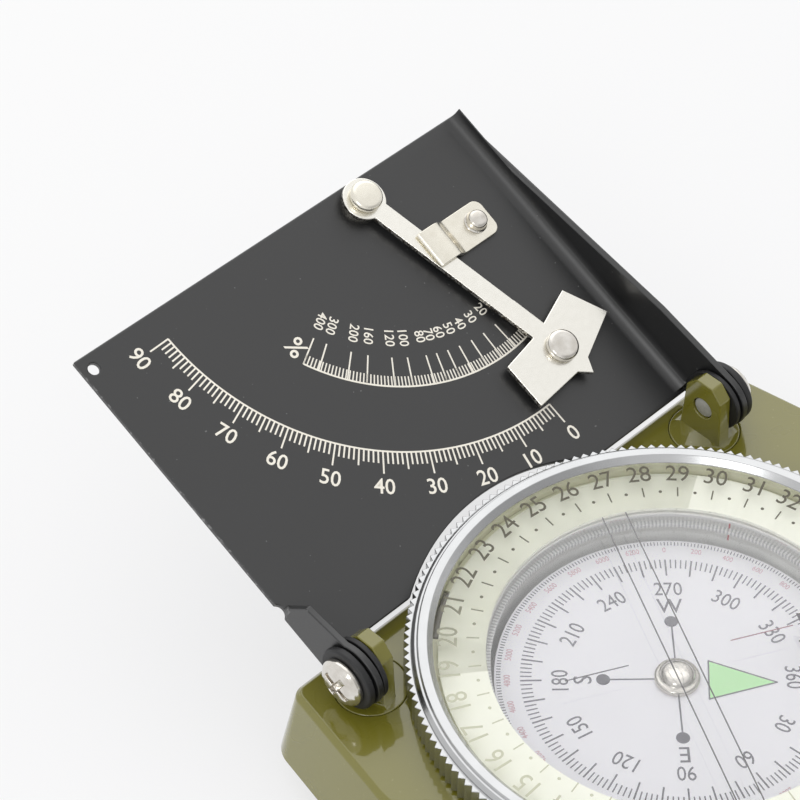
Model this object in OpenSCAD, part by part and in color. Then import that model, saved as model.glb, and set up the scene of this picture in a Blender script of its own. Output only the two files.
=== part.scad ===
// Pocket clinometer compass with a folding lid, shown with the lid open.
// Millimetres. X runs along the lid hinge, Y from the dial to the hinge, Z up.
// The origin is on the dial axis, in the plane that the compass rests on.

/* [Housing] */
// Height of the deck above the rest plane
deck_z = 11.5; // [10.5:0.5:13]
// Height of the bottom edge of the side walls above the rest plane
rim_z = 3; // [2:0.5:4]
// Centre line of the housing, to the right of the dial axis
housing_x = 2.65; // [2.3:0.05:2.9]
// Rear edge of the deck, behind the dial axis
rear_y = 23.7; // [23.2:0.1:25]
// Half width of the deck at its rear corners
rear_half_w = 30.65; // [30.3:0.05:31]
// Half width of the deck at its widest
widest_half_w = 33.1; // [32.6:0.1:34.5]
// Where the sides start to draw in towards the hinge, behind the dial axis
side_rear_y = 8; // [5:0.5:9]
// Where the sides start to draw in towards the front, in front of the dial axis
side_front_y = 22; // [19:0.5:24]
// Front edge of the deck, in front of the dial axis
front_y = 50; // [49:0.5:54]
// Half width of the deck at its front edge
front_half_w = 22; // [20:0.5:24]
// Radius of the two rear corners
rear_corner_r = 1.5; // [1.2:0.1:3]
// Radius of the four corners along the sides
side_corner_r = 9; // [7:0.5:10]
// Radius of the two front corners
front_corner_r = 8; // [6:0.5:9]
// How far the side walls lean out from deck to rim
wall_draft = 1.6; // [1:0.1:2]
// Height and depth of the rounded deck edge
deck_edge = 0.5; // [0.3:0.1:0.8]
// Thickness of the deck
deck_t = 2.6; // [2.2:0.1:3]
// Thickness of the side walls at the deck
wall_t = 3.2; // [2.8:0.1:3.6]
// Gap between the lug feet and the rear screw posts
foot_to_post = 1; // [0.8:0.1:1.5]
// Radius of the screw posts under the deck
post_r = 2.6; // [2.3:0.1:3]

/* [Base] */
// How far the base plate reaches up into the housing
base_spigot_h = 1.5; // [1:0.1:1.6]
// Gap between the base plate and the housing walls
base_gap = 0.15; // [0.1:0.05:0.3]
// Shank radius of the base screws
base_screw_r = 1.1; // [0.9:0.1:1.2]
// Head radius of the base screws
base_head_r = 2; // [1.8:0.1:2.2]
// Head height of the base screws
base_head_h = 1.2; // [1:0.1:1.5]
// Depth of the base screw heads below the rest face
base_head_sink = 0.4; // [0.3:0.1:0.7]
// How far the base screws reach above the base plate
base_screw_reach = 3; // [2:0.5:3.5]

/* [Capsule] */
// Inner radius of the capsule wall
capsule_r = 18.17; // [17.9:0.05:18.3]
// Wall thickness of the capsule
capsule_wall = 1.2; // [1:0.1:1.4]
// Floor thickness of the capsule
capsule_floor = 1.2; // [1:0.1:1.5]
// Gap between the capsule and the well of the housing
capsule_gap = 0.1; // [0.05:0.05:0.2]
// Thickness of the capsule window
window_t = 0.8; // [0.6:0.1:1]
// Depth of the capsule window below the rim of the capsule
window_sink = 0.2; // [0.1:0.05:0.4]
// Radial width of the gasket under the capsule window
gasket_w = 0.5; // [0.4:0.1:0.9]
// Height of the gasket under the capsule window
gasket_h = 0.5; // [0.4:0.1:0.8]

/* [Card] */
// Radius of the compass card
card_r = 17.3; // [16.5:0.1:17.5]
// Thickness of the compass card
card_t = 0.35; // [0.3:0.05:0.6]
// Height of the card's face above the rest plane
card_z = 10.1; // [9.8:0.1:10.3]
// Outer radius of the jewel cap
cap_r = 2.2; // [2:0.1:2.6]
// Height of the jewel cap above the card
cap_rise = 1.3; // [1.2:0.1:1.5]
// Radius of the recess under the jewel cap
jewel_r = 1.1; // [0.9:0.1:1.2]
// Length of the card magnet
magnet_len = 24; // [20:1:28]
// Width of the card magnet
magnet_w = 4.6; // [4.2:0.2:5.5]
// Thickness of the card magnet
magnet_t = 1.4; // [1:0.1:1.6]
// Shank radius of the pivot needle
needle_r = 0.6; // [0.4:0.05:0.7]
// Gap between the tip of the needle and the jewel
needle_gap = 0.05; // [0.02:0.01:0.08]

/* [Bezel] */
// Radius over the knurl teeth
knurl_r = 25.9; // [25.6:0.1:26]
// Depth of the knurl grooves
knurl_depth = 0.5; // [0.3:0.1:0.7]
// Number of knurl teeth
knurl_teeth = 164; // [120:4:180]
// Height of the knurl's top edge above the rest plane
knurl_top_z = 14.87; // [14.6:0.05:15]
// Gap between the bezel and the deck
bezel_gap = 0.3; // [0.2:0.05:0.5]
// Radius of the step above the knurl
step_r = 25.2; // [24.9:0.1:25.3]
// Outer radius of the bezel's crest
crest_outer_r = 24.65; // [24.3:0.05:24.8]
// Inner radius of the bezel's crest
crest_inner_r = 23.7; // [23.5:0.05:23.9]
// Height of the crest above the glass
crest_rise = 0.75; // [0.6:0.05:0.8]
// Inner radius of the lip that holds the glass
lip_r = 23.15; // [22.9:0.05:23.2]
// Height of the lip above the glass
lip_rise = 0.12; // [0.1:0.02:0.2]
// Radius of the bezel's bore
bore_r = 23.45; // [23.35:0.02:23.5]
// Radial running clearance of the bezel on the housing's collar
bezel_fit = 0.07; // [0.04:0.01:0.09]
// Height of the dial face above the rest plane
dial_z = 15; // [14.9:0.05:15.2]
// Thickness of the bezel glass
glass_t = 1; // [0.8:0.1:1.1]
// Thickness of the luminous ring
luminous_t = 0.35; // [0.2:0.05:0.4]
// Outer radius of the luminous ring
luminous_r = 22.65; // [22.3:0.05:22.8]
// Gap between the luminous ring and the collar
luminous_gap = 0.35; // [0.25:0.05:0.5]
// Wall thickness of the collar where it passes through the deck
spigot_wall = 1.6; // [1.4:0.1:2]
// Depth of the groove round the collar for the grub screws
collar_groove = 0.6; // [0.5:0.1:0.8]
// Radius of the grub screws
grub_r = 0.3; // [0.2:0.05:0.3]
// Start angle of the friction spring
spring_from = 115.5; // [110:0.5:120]
// Angle that the friction spring covers
spring_sweep = 14; // [10:1:18]
// Radial width of the friction spring
spring_w = 0.6; // [0.4:0.05:0.7]
// Height of the friction spring
spring_h = 0.45; // [0.3:0.05:0.5]

/* [Hinge] */
// Centre line of the hinge, to the right of the dial axis
hinge_x = 1.55; // [1.5:0.05:1.7]
// Hinge axis, behind the dial axis
hinge_y = 18.9; // [18.8:0.1:19.2]
// Hinge axis, above the deck
hinge_lift = 3.6; // [3.6:0.05:3.9]
// Half the distance between the lugs
lug_gap_half = 22.75; // [22.7:0.05:22.9]
// Thickness of the lugs
lug_t = 1.55; // [1.4:0.05:1.7]
// Half width of the lugs
lug_half_w = 2.25; // [2:0.05:2.35]
// Half width of the flat top of the lugs
lug_top_half_w = 1; // [0.8:0.1:1.3]
// Height of the lugs above the hinge axis
lug_top = 3.4; // [3.1:0.1:3.5]
// Height of the chamfered top of the lugs
lug_chamfer_h = 1.4; // [1.1:0.1:1.6]
// Radius of the round foot of the lugs
foot_r = 3.6; // [3.3:0.1:3.8]
// Thickness of the round foot of the lugs
foot_t = 1.8; // [1.6:0.1:1.9]
// Gap between the foot and its seat in the deck
foot_gap = 0.04; // [0.02:0.01:0.08]
// Shank radius of the screws under the lugs
lug_screw_r = 0.9; // [0.8:0.05:1]
// Head radius of the screws under the lugs
lug_screw_head_r = 1.8; // [1.6:0.1:2]
// Gap round the heads of the screws under the lugs
lug_screw_room = 0.2; // [0.1:0.05:0.3]
// Shank radius of the hinge screws
hinge_screw_r = 1.15; // [1.05:0.05:1.2]
// Radial running clearance of the lid's ears on the hinge screws
hinge_fit = 0.06; // [0.03:0.01:0.09]
// Head radius of the hinge screws
hinge_head_r = 2.5; // [2.3:0.1:2.7]
// Head height of the hinge screws
hinge_head_h = 1.2; // [1:0.1:1.4]
// Depth of the cross recess in the hinge screws
cross_depth = 0.7; // [0.5:0.1:0.8]
// Thickness of the rubber washers inside the ears
inner_washer_t = 0.55; // [0.4:0.05:0.6]
// Thickness of the rubber washers outside the ears
outer_washer_t = 0.85; // [0.6:0.05:1]
// Radius of the rubber washers
washer_r = 3.3; // [3:0.1:3.5]
// Gap from face to face along the hinge stack
stack_gap = 0.05; // [0.03:0.01:0.08]

/* [Lid] */
// Angle from the closed lid to the open lid
lid_angle = 153.1; // [150:0.1:153.5]
// Distance from the hinge axis to the inner face of the lid
lid_lift = 3.25; // [3.15:0.05:3.4]
// Thickness of the lid sheet
sheet_t = 0.7; // [0.6:0.05:0.75]
// Distance from the hinge axis to the far edge of the lid
lid_far = 39.75; // [39:0.25:41]
// Distance from the hinge axis to the near edge of the lid
lid_near = 2.7; // [2.5:0.1:3]
// Gap between the open lid and the bezel
lid_gap = 0.35; // [0.3:0.05:0.6]
// Half the distance between the inner faces of the ears
lid_inner_half = 25.1; // [25.08:0.02:25.2]
// Lean of the two long edges of the lid
lid_lean = 1.5; // [1.2:0.1:1.6]
// Inner bend radius along the long flange
bend_r = 1.6; // [1.2:0.1:2]
// Radius of the round ends of the ears
ear_r = 3.4; // [3.1:0.1:3.45]
// Distance from the hinge axis to the bend relief of the left ear
relief_w = 9; // [8:0.25:10]
// Radius of the bend relief of the left ear
relief_r = 0.9; // [0.6:0.1:1.1]
// Height of the left ear's front corner
ear_corner_h = 4.4; // [4:0.1:5]
// How far the left ear's front edge leans towards the hinge
ear_edge_lean = 1.6; // [1.2:0.1:2]
// Distance from the hinge axis at which the long flange starts to taper
taper_w = 10.3; // [9:0.1:14]
// Height of the long flange where it starts to taper
taper_h = 5.7; // [5:0.1:6.1]
// Height of the long flange at its far end
taper_end_h = 0.1; // [0.1:0.1:0.8]
// Radius of the hole in the corner of the lid
corner_hole_r = 0.6; // [0.4:0.1:0.8]

/* [Clinometer] */
// Pendulum pivot, to the right of the hinge's centre line
pivot_u = 8.8; // [8.5:0.1:10]
// Pendulum pivot, from the lid's far edge
pivot_edge = 2.5; // [2.3:0.05:2.7]
// Angle of the parked pendulum
park_angle = 16.1; // [15.8:0.1:16.4]
// Thickness of the spacer under the pendulum
spacer_t = 0.7; // [0.6:0.05:0.75]
// Radius of the spacer under the pendulum
spacer_r = 1.9; // [1.7:0.1:2.1]
// Thickness of the pendulum sheet
arm_t = 0.6; // [0.4:0.05:0.65]
// Width of the pendulum arm
arm_w = 2.1; // [1.8:0.1:2.3]
// Radius of the eye of the pendulum arm
eye_r = 2.3; // [2.1:0.05:2.4]
// Distance from the pivot to the top of the weight
weight_top = 21.85; // [21:0.05:22.2]
// Distance from the pivot to the bottom corners of the weight
weight_bottom = 26.45; // [26:0.05:27]
// Distance from the pivot to the tip of the pointer
pointer_tip = 28.85; // [28.5:0.05:29.2]
// Half width of the weight at its top
weight_top_half_w = 5.6; // [5:0.1:5.9]
// How far the top edge of the weight rises from the arm to its corners
shoulder_rise = 0.42; // [0.3:0.02:0.5]
// Half width of the weight at its bottom
weight_half_w = 6.85; // [6:0.05:7.1]
// Half width of the pointer where it leaves the weight
pointer_half_w = 1.05; // [0.7:0.05:1.3]
// Depth of the bottom edge between corner and pointer
weight_bow = 1.05; // [0.6:0.05:1.2]
// Distance from the pivot to the rivet of the weight
weight_rivet_d = 24.65; // [24:0.05:25]
// Thickness of the plate behind the weight
back_t = 0.5; // [0.4:0.05:0.55]
// Radius of the pivot rivet's head
pivot_head_r = 1.7; // [1.5:0.05:1.9]
// Radius of the pivot rivet's shank
pivot_shank_r = 0.9; // [0.7:0.05:1]
// Radial running clearance of the pendulum on its rivet
pivot_fit = 0.06; // [0.03:0.01:0.09]
// Radius of the weight rivet's head
weight_head_r = 1.7; // [1.5:0.05:1.9]
// Height of the rivet heads on the pendulum
rivet_head_h = 1; // [0.8:0.05:1.05]
// Length of the parking clip's foot
clip_foot = 6.5; // [6:0.1:6.8]
// Middle of the parking clip, from the pivot towards the hinge
clip_drop = 8.15; // [8:0.05:8.6]
// Length of the parking clip across the arm
clip_len = 9.2; // [9:0.1:9.5]
// Width of the parking clip along the arm
clip_width = 4.1; // [3.6:0.1:4.6]
// Thickness of the parking clip
clip_t = 0.45; // [0.35:0.05:0.5]
// Gap between the clip and the parked arm
clip_gap = 0.15; // [0.1:0.05:0.2]
// Distance from the clip's right end to its rivet
clip_rivet_edge = 1.95; // [1.7:0.05:2.4]
// Gap between the parked arm and the step of the clip
clip_side_gap = 0.35; // [0.25:0.05:0.5]
// Radius of the clip rivet's head
clip_head_r = 1.05; // [0.9:0.05:1.4]

/* [Eyepiece] */
// Distance from the dial axis to the fold axis of the eyepiece
fold_y = 44.5; // [44:0.5:46]
// Height of the fold axis above the deck
fold_lift = 2.6; // [2.4:0.1:3]
// Radius of the eyepiece hinge pin
fold_pin_r = 1; // [0.8:0.1:1.1]
// Radial clearance of the eyepiece hinge pin
fold_fit = 0.05; // [0.03:0.01:0.08]
// Half width of the eyepiece bracket's knuckle
knuckle_half_w = 4; // [3.5:0.25:5]
// Outer radius of the knuckle and of the ears that carry it
knuckle_r = 2.2; // [1.9:0.1:2.3]
// Thickness of the ears that carry the eyepiece
fold_ear_t = 2.2; // [1.8:0.1:2.6]
// Thickness of the foot that holds the ears in the deck
stand_t = 1.4; // [1.2:0.1:1.8]
// Distance from the fold axis to the lens axis
lens_reach = 10.5; // [10:0.25:11]
// Outer radius of the eyepiece bracket round the lens
bracket_r = 6.6; // [6.2:0.1:6.8]
// Thickness of the eyepiece bracket
bracket_t = 2.4; // [2:0.1:2.8]
// Radius of the lens barrel
barrel_r = 5.2; // [4.9:0.1:5.4]
// Height of the lens barrel
barrel_h = 3.6; // [3.2:0.1:4]
// Wall thickness of the lens barrel
barrel_wall = 0.7; // [0.5:0.1:0.9]
// Radial clearance of the lens barrel
barrel_fit = 0.05; // [0.03:0.01:0.08]
// Thickness of the lens at its edge
lens_edge_t = 0.9; // [0.7:0.1:1.1]
// Height of the lens's crown
lens_crown = 0.5; // [0.3:0.1:0.6]
// Gap from face to face beside parts that fold
fold_gap = 0.2; // [0.15:0.05:0.3]

/* [Thumb ring] */
// Radius of the thumb ring's centre line
ring_r = 9; // [8.5:0.25:10]
// Radius of the thumb ring's wire
ring_wire_r = 1.2; // [1:0.05:1.3]
// Radius of the eye that holds the thumb ring
ring_eye_r = 1.65; // [1.6:0.05:1.8]
// Height of the eye above the rest plane
ring_eye_z = 7; // [6.8:0.1:7.4]
// Outer radius of the ring post's head
ring_post_r = 3; // [2.9:0.1:3.2]
// Thickness of the ring post's head
ring_post_t = 2.4; // [2:0.1:2.8]
// Radius of the ring post's stem
ring_stem_r = 1.8; // [1.5:0.1:2]

/* [Level] */
// Bubble level, to the right of the housing's centre line
level_x = 17; // [16:0.5:17.5]
// Bubble level, in front of the dial axis
level_y = 33; // [32.5:0.5:34]
// Outer radius of the level's cup
level_cup_r = 4.6; // [4.3:0.1:4.8]
// Wall thickness of the level's cup
level_wall = 0.6; // [0.5:0.05:0.8]
// Height of the level's rim above the deck
level_rise = 0.5; // [0.3:0.1:0.8]
// Radius of the bubble
bubble_r = 1.3; // [1:0.1:1.5]

/* [Hidden] */
$fn = 96;

// Cuts run this far past the faces that they open
cut = 0.5;
olive = "#6f6a32";
black_paint = "#2b2b2d";
steel = "#c9c4ba";
bright = "#d8d9dc";
rubber = "#17171a";
clear = [0.85, 0.92, 0.95, 0.35];

roof_z = deck_z - deck_t;
base_top_z = rim_z + base_spigot_h;
rear_post_y = hinge_y - foot_r - post_r - foot_to_post;
front_post_y = front_corner_r - front_y;
rear_post_x = rear_half_w - wall_t - post_r;
front_post_x = front_half_w - front_corner_r;
post_places = [[-rear_post_x, rear_post_y], [rear_post_x, rear_post_y],
    [-front_post_x, front_post_y], [front_post_x, front_post_y]];

capsule_outer_r = capsule_r + capsule_wall;
well_r = capsule_outer_r + capsule_gap;
spigot_r = well_r + spigot_wall;
collar_seat_gap = 0.02;
capsule_bottom_z = base_top_z + stack_gap;
glass_bottom_z = dial_z - glass_t;
luminous_bottom_z = glass_bottom_z - luminous_t;
collar_top_z = luminous_bottom_z - luminous_gap;
collar_r = bore_r - bezel_fit;
bezel_bottom_z = deck_z + bezel_gap;
window_top_z = collar_top_z - window_sink;
window_bottom_z = window_top_z - window_t;
grub_z = bezel_bottom_z + grub_r + 0.15;
groove_half_h = grub_r + 0.03;
grub_angles = [5, 105, 235];

hinge_z = deck_z + hinge_lift;
lug_outer = lug_gap_half + lug_t;
lug_mid = lug_gap_half + lug_t / 2;
ear_inner = lid_inner_half;
ear_outer = lid_inner_half + sheet_t;
ear_mid = lid_inner_half + sheet_t / 2;
ear_swing = ear_r * tan(lid_lean);
lid_tilt = 180 - lid_angle;
notch_r = (knurl_r + lid_gap) * cos(lid_tilt);
notch_w = (knurl_r + lid_gap - hinge_y - lid_lift * sin(lid_tilt)) / cos(lid_tilt);
inner_washer_from = lug_outer + stack_gap;
outer_washer_from = ear_outer + ear_swing + stack_gap;
head_from = outer_washer_from + outer_washer_t + stack_gap;

arm_from = spacer_t + stack_gap;
arm_top = arm_from + arm_t;
pendulum_head_from = arm_top + stack_gap;
clip_top_from = arm_top + clip_gap;
pivot_w = lid_far - pivot_edge;
clip_w = pivot_w - clip_drop;
arm_at_clip = pivot_u + (pivot_w - clip_w) * tan(park_angle);
step_u = arm_at_clip + arm_w / 2 + clip_width / 2 * tan(park_angle) + clip_side_gap;
clip_u = step_u + clip_foot;
clip_left = clip_u - clip_len;
clip_rivet_u = clip_u - clip_rivet_edge;

fold_z = deck_z + fold_lift;
stand_half_w = knuckle_half_w + fold_gap + fold_ear_t;
bracket_bottom_z = deck_z + fold_gap + 0.3;
barrel_bottom_z = deck_z + fold_gap;
ring_eye_y = front_y + wall_draft + ring_post_r + 0.6;
ring_drop = asin((ring_eye_z - ring_wire_r - 0.05) / (2 * ring_r));
level_bottom_z = roof_z + 0.6;
level_top_z = deck_z + level_rise;

// One pair of corner posts of the housing's outline, drafted and rounded at the deck. x is the
// outer edge, y the centre of the round; inward is the way that a tight corner moves in.
module corner(x, y, r, inward, inset, low, high, draft, edge) {
    tuck = max(0, inset + edge + 0.5 - r);
    round = r - inset + tuck;
    for (side = [-1, 1])
        translate([housing_x + side * (x - r - tuck), y + inward * tuck, 0]) {
            translate([0, 0, low])
                cylinder(r1 = round + draft, r2 = round, h = high - edge - low, $fn = 40);
            if (edge > 0)
                translate([0, 0, high - edge])
                    cylinder(r1 = round, r2 = round - edge, h = edge, $fn = 40);
        }
}

// The housing's outline as a solid, moved in by inset.
module outline(inset, low, high, draft, edge) {
    hull() {
        corner(rear_half_w, rear_y - rear_corner_r, rear_corner_r, -1, inset, low, high, draft, edge);
        corner(widest_half_w, side_rear_y, side_corner_r, 0, inset, low, high, draft, edge);
        corner(widest_half_w, -side_front_y, side_corner_r, 0, inset, low, high, draft, edge);
        corner(front_half_w, front_corner_r - front_y, front_corner_r, 1, inset, low, high, draft, edge);
    }
}

module housing() {
    color(olive)
    difference() {
        union() {
            difference() {
                outline(0, rim_z, deck_z, wall_draft, deck_edge);
                outline(wall_t, rim_z - cut, roof_z, 0, 0);
            }
            for (p = post_places)
                translate([housing_x + p[0], p[1], base_top_z + stack_gap])
                    cylinder(r = post_r, h = roof_z - base_top_z);
        }
        translate([0, 0, roof_z - cut])
            cylinder(r = spigot_r + foot_gap, h = deck_t + 2 * cut);
        for (side = [-1, 1])
            translate([hinge_x + side * lug_mid, hinge_y, 0]) {
                translate([0, 0, deck_z - foot_t - foot_gap])
                    cylinder(r = foot_r + foot_gap, h = foot_t + foot_gap + cut);
                translate([0, 0, roof_z - cut])
                    cylinder(r = lug_screw_r + foot_gap, h = deck_t);
                translate([0, 0, base_top_z])
                    cylinder(r = lug_screw_head_r + lug_screw_room, h = roof_z - base_top_z);
            }
        for (p = post_places)
            translate([housing_x + p[0], p[1], base_top_z])
                cylinder(r = base_screw_r + foot_gap, h = base_screw_reach + 0.3);
        translate([housing_x - stand_half_w - foot_gap, -fold_y - knuckle_r - foot_gap, deck_z - stand_t - foot_gap])
            cube([2 * (stand_half_w + foot_gap), 2 * (knuckle_r + foot_gap), stand_t + foot_gap + cut]);
        translate([housing_x + level_x, -level_y, level_bottom_z - foot_gap])
            cylinder(r = level_cup_r + foot_gap, h = deck_t + cut);
        translate([housing_x, -front_y - wall_draft - cut, ring_eye_z])
            rotate([-90, 0, 0])
                cylinder(r = ring_stem_r + foot_gap, h = wall_t + wall_draft + 2 * cut);
    }
}

// Flanged ring that the bezel turns on, pressed into the deck's opening.
module dial_collar() {
    color(bright)
    difference() {
        union() {
            translate([0, 0, roof_z])
                cylinder(r = spigot_r, h = deck_t + collar_seat_gap + cut);
            translate([0, 0, deck_z + collar_seat_gap])
                cylinder(r = collar_r, h = collar_top_z - deck_z - collar_seat_gap);
        }
        translate([0, 0, roof_z - cut])
            cylinder(r = well_r, h = collar_top_z - roof_z + 2 * cut);
        translate([0, 0, grub_z - groove_half_h])
            difference() {
                cylinder(r = collar_r + cut, h = 2 * groove_half_h);
                translate([0, 0, -cut])
                    cylinder(r = collar_r - collar_groove, h = 2 * groove_half_h + 2 * cut);
            }
        spring_slot();
    }
}

// Arc slot in the top of the collar for the friction spring.
module spring_slot() {
    rotate([0, 0, spring_from - 0.5])
        translate([0, 0, collar_top_z - spring_h - 0.05])
            rotate_extrude(angle = spring_sweep + 1)
                translate([collar_r - spring_w - 0.15, 0])
                    square([spring_w + 0.15 + cut, spring_h + cut]);
}

module base_plate() {
    color(olive)
    difference() {
        outline(wall_t + base_gap, 0, base_top_z, 0, 0);
        for (p = post_places)
            translate([housing_x + p[0], p[1], -cut]) {
                cylinder(r = base_head_r + base_gap, h = base_head_sink + base_head_h + cut);
                cylinder(r = base_screw_r + foot_gap, h = base_top_z + 2 * cut);
            }
    }
}

module base_screws() {
    color(bright)
    for (p = post_places)
        translate([housing_x + p[0], p[1], base_head_sink])
            difference() {
                union() {
                    cylinder(r = base_head_r, h = base_head_h);
                    cylinder(r = base_screw_r, h = base_top_z + base_screw_reach - base_head_sink);
                }
                cross_recess(base_head_r, base_head_h / 2);
            }
}

// Cross recess, cut upwards into a screw head that lies in the plane z = 0.
module cross_recess(head_r, depth) {
    for (turn = [0, 90])
        rotate([0, 0, turn])
            translate([-head_r * 0.62, -head_r * 0.13, -cut])
                cube([head_r * 1.24, head_r * 0.26, depth + cut]);
}

// The lug's outline, hinge axis at the origin, extruded towards +X.
module lug_profile(thick) {
    rotate([90, 0, 90])
        linear_extrude(height = thick)
            polygon([
                [-lug_half_w - 0.35, -hinge_lift], [lug_half_w + 0.35, -hinge_lift],
                [lug_half_w, lug_top - lug_chamfer_h], [lug_top_half_w, lug_top],
                [-lug_top_half_w, lug_top], [-lug_half_w, lug_top - lug_chamfer_h]]);
}

module hinge_lug(side) {
    color(olive)
    translate([hinge_x + side * lug_mid, hinge_y, hinge_z])
        difference() {
            union() {
                translate([-lug_t / 2, 0, 0])
                    lug_profile(lug_t);
                translate([0, 0, -hinge_lift - foot_t])
                    cylinder(r = foot_r, h = foot_t);
            }
            rotate([0, 90, 0])
                cylinder(r = hinge_screw_r + foot_gap, h = lug_t + 2 * cut, center = true);
            translate([0, 0, -hinge_lift - foot_t - cut])
                cylinder(r = lug_screw_r + foot_gap, h = foot_t + cut - 0.3);
        }
}

module lug_screws() {
    head_h = 1;
    color(bright)
    for (side = [-1, 1])
        translate([hinge_x + side * lug_mid, hinge_y, roof_z - stack_gap - head_h])
            difference() {
                union() {
                    cylinder(r = lug_screw_head_r, h = head_h);
                    cylinder(r = lug_screw_r, h = head_h + stack_gap + deck_t - 0.5);
                }
                cross_recess(lug_screw_head_r, head_h / 2);
            }
}

// Domed cross-head screw whose shank runs from the head into the lug.
module hinge_screw(side) {
    dome_h = hinge_head_h - 0.5;
    color(bright)
    translate([hinge_x, hinge_y, hinge_z])
        mirror([side < 0 ? 1 : 0, 0, 0])
            rotate([0, 90, 0])
                difference() {
                    union() {
                        translate([0, 0, lug_gap_half + 0.25])
                            cylinder(r = hinge_screw_r, h = head_from - lug_gap_half - 0.2);
                        translate([0, 0, head_from])
                            rotate_extrude()
                                polygon([[0, 0], [hinge_head_r, 0], [hinge_head_r, 0.5],
                                    [hinge_head_r * 0.86, 0.5 + dome_h * 0.6], [hinge_head_r * 0.55, 0.5 + dome_h],
                                    [0, 0.5 + dome_h]]);
                    }
                    translate([0, 0, head_from + hinge_head_h])
                        mirror([0, 0, 1])
                            rotate([0, 0, 30])
                                cross_recess(hinge_head_r, cross_depth);
                }
}

module washer(side, from, thick) {
    color(rubber)
    translate([hinge_x, hinge_y, hinge_z])
        mirror([side < 0 ? 1 : 0, 0, 0])
            translate([from, 0, 0])
                rotate([0, 90, 0])
                    difference() {
                        cylinder(r = washer_r, h = thick);
                        translate([0, 0, -cut])
                            cylinder(r = hinge_screw_r + foot_gap, h = thick + 2 * cut);
                    }
}

// Puts a child drawn with u, w and h along X, Y and Z onto the open lid: u along the hinge,
// w away from it along the sheet and h up from the sheet's inner face.
module on_lid() {
    translate([hinge_x, hinge_y, hinge_z])
        rotate([-lid_angle, 0, 0])
            translate([0, 0, lid_lift])
                rotate([180, 0, 0])
                    children();
}

// How far the leaning edges stand off at a distance w from the hinge.
function lean(w) = -w * tan(lid_lean);

// Outline of the long flange in w and h.
module flange_outline() {
    union() {
        polygon([
            [lid_far, -sheet_t], [lid_far, taper_end_h], [taper_w, taper_h],
            [0, lid_lift + ear_r], [0, lid_lift], [lid_near, -sheet_t]]);
        translate([0, lid_lift])
            circle(r = ear_r);
    }
}

// Outline of the left ear in w and h.
module ear_outline() {
    union() {
        polygon([
            [relief_w, -sheet_t], [relief_w, sheet_t], [relief_w - ear_edge_lean, ear_corner_h],
            [ear_r * 0.7, lid_lift + ear_r * 0.7], [-ear_r * 0.45, lid_lift - ear_r * 0.85],
            [lid_near, -sheet_t]]);
        translate([0, lid_lift])
            circle(r = ear_r);
    }
}

module lid() {
    color(black_paint)
    on_lid()
        difference() {
            union() {
                translate([0, 0, -sheet_t])
                    linear_extrude(height = sheet_t)
                        polygon([
                            [-ear_outer + lean(lid_near), lid_near], [ear_outer + lean(lid_near), lid_near],
                            [ear_outer + lean(lid_far), lid_far], [-ear_outer + lean(lid_far), lid_far]]);
                leaning(1)
                    wall_sheet() flange_outline();
                leaning(-1)
                    wall_sheet() ear_outline();
                bend_fillet();
            }
            translate([0, 0, lid_lift])
                rotate([0, 90, 0])
                    cylinder(r = hinge_screw_r + hinge_fit, h = 3 * ear_outer, center = true);
            translate([-hinge_x, notch_w - notch_r, -sheet_t - cut])
                cylinder(r = notch_r, h = sheet_t + 2 * cut);
            translate([corner_hole_r + sheet_t - ear_outer + lean(lid_far), lid_far - 1.6, -sheet_t - cut])
                cylinder(r = corner_hole_r, h = sheet_t + 2 * cut);
            translate([lean(relief_w) - ear_outer - relief_r / 2, relief_w, -sheet_t - cut])
                cylinder(r = relief_r, h = 3 * sheet_t + cut);
            translate([pivot_u, pivot_w, -sheet_t - cut])
                cylinder(r = pivot_shank_r + foot_gap, h = sheet_t + 2 * cut);
            translate([clip_rivet_u, clip_w, -sheet_t - cut])
                cylinder(r = clip_head_r / 2 + foot_gap, h = sheet_t + 2 * cut);
        }
}

// Puts a child on the right or left ear, turned about the ear's middle on the hinge axis.
module leaning(side) {
    translate([side * ear_mid, 0, 0])
        rotate([0, 0, lid_lean])
            children();
}

// A sheet standing along w, centred on u = 0.
module wall_sheet() {
    translate([-sheet_t / 2, 0, 0])
        rotate([90, 0, 90])
            linear_extrude(height = sheet_t)
                children();
}

// Rounded inside corner along the long flange.
module bend_fillet() {
    leaning(1)
        translate([-sheet_t / 2, lid_near + bend_r / 4, 0])
            rotate([-90, 0, 0])
                mirror([0, 1, 0])
                    linear_extrude(height = lid_far - lid_near - bend_r)
                        difference() {
                            translate([-bend_r, -sheet_t / 2])
                                square([bend_r + sheet_t / 2, bend_r * 0.55 + sheet_t / 2]);
                            translate([-bend_r, bend_r])
                                circle(r = bend_r);
                        }
}

// Puts a child on the pendulum's axis, with the arm along -Y.
module on_pendulum() {
    on_lid()
        translate([pivot_u, pivot_w, 0])
            rotate([0, 0, park_angle])
                children();
}

module pendulum_spacer() {
    color(steel)
    on_lid()
        translate([pivot_u, pivot_w, 0])
            difference() {
                cylinder(r = spacer_r, h = spacer_t);
                translate([0, 0, -cut])
                    cylinder(r = pivot_shank_r + foot_gap, h = spacer_t + 2 * cut);
            }
}

// Outline of the weight, with its wings, bowed foot and pointer.
module weight_outline() {
    polygon([
        [-arm_w / 2, -weight_top], [-weight_top_half_w, -weight_top + shoulder_rise], [-weight_half_w, -weight_bottom],
        [-pointer_half_w, -weight_bottom - weight_bow], [0, -pointer_tip],
        [pointer_half_w, -weight_bottom - weight_bow], [weight_half_w, -weight_bottom],
        [weight_top_half_w, -weight_top + shoulder_rise], [arm_w / 2, -weight_top]]);
}

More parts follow.
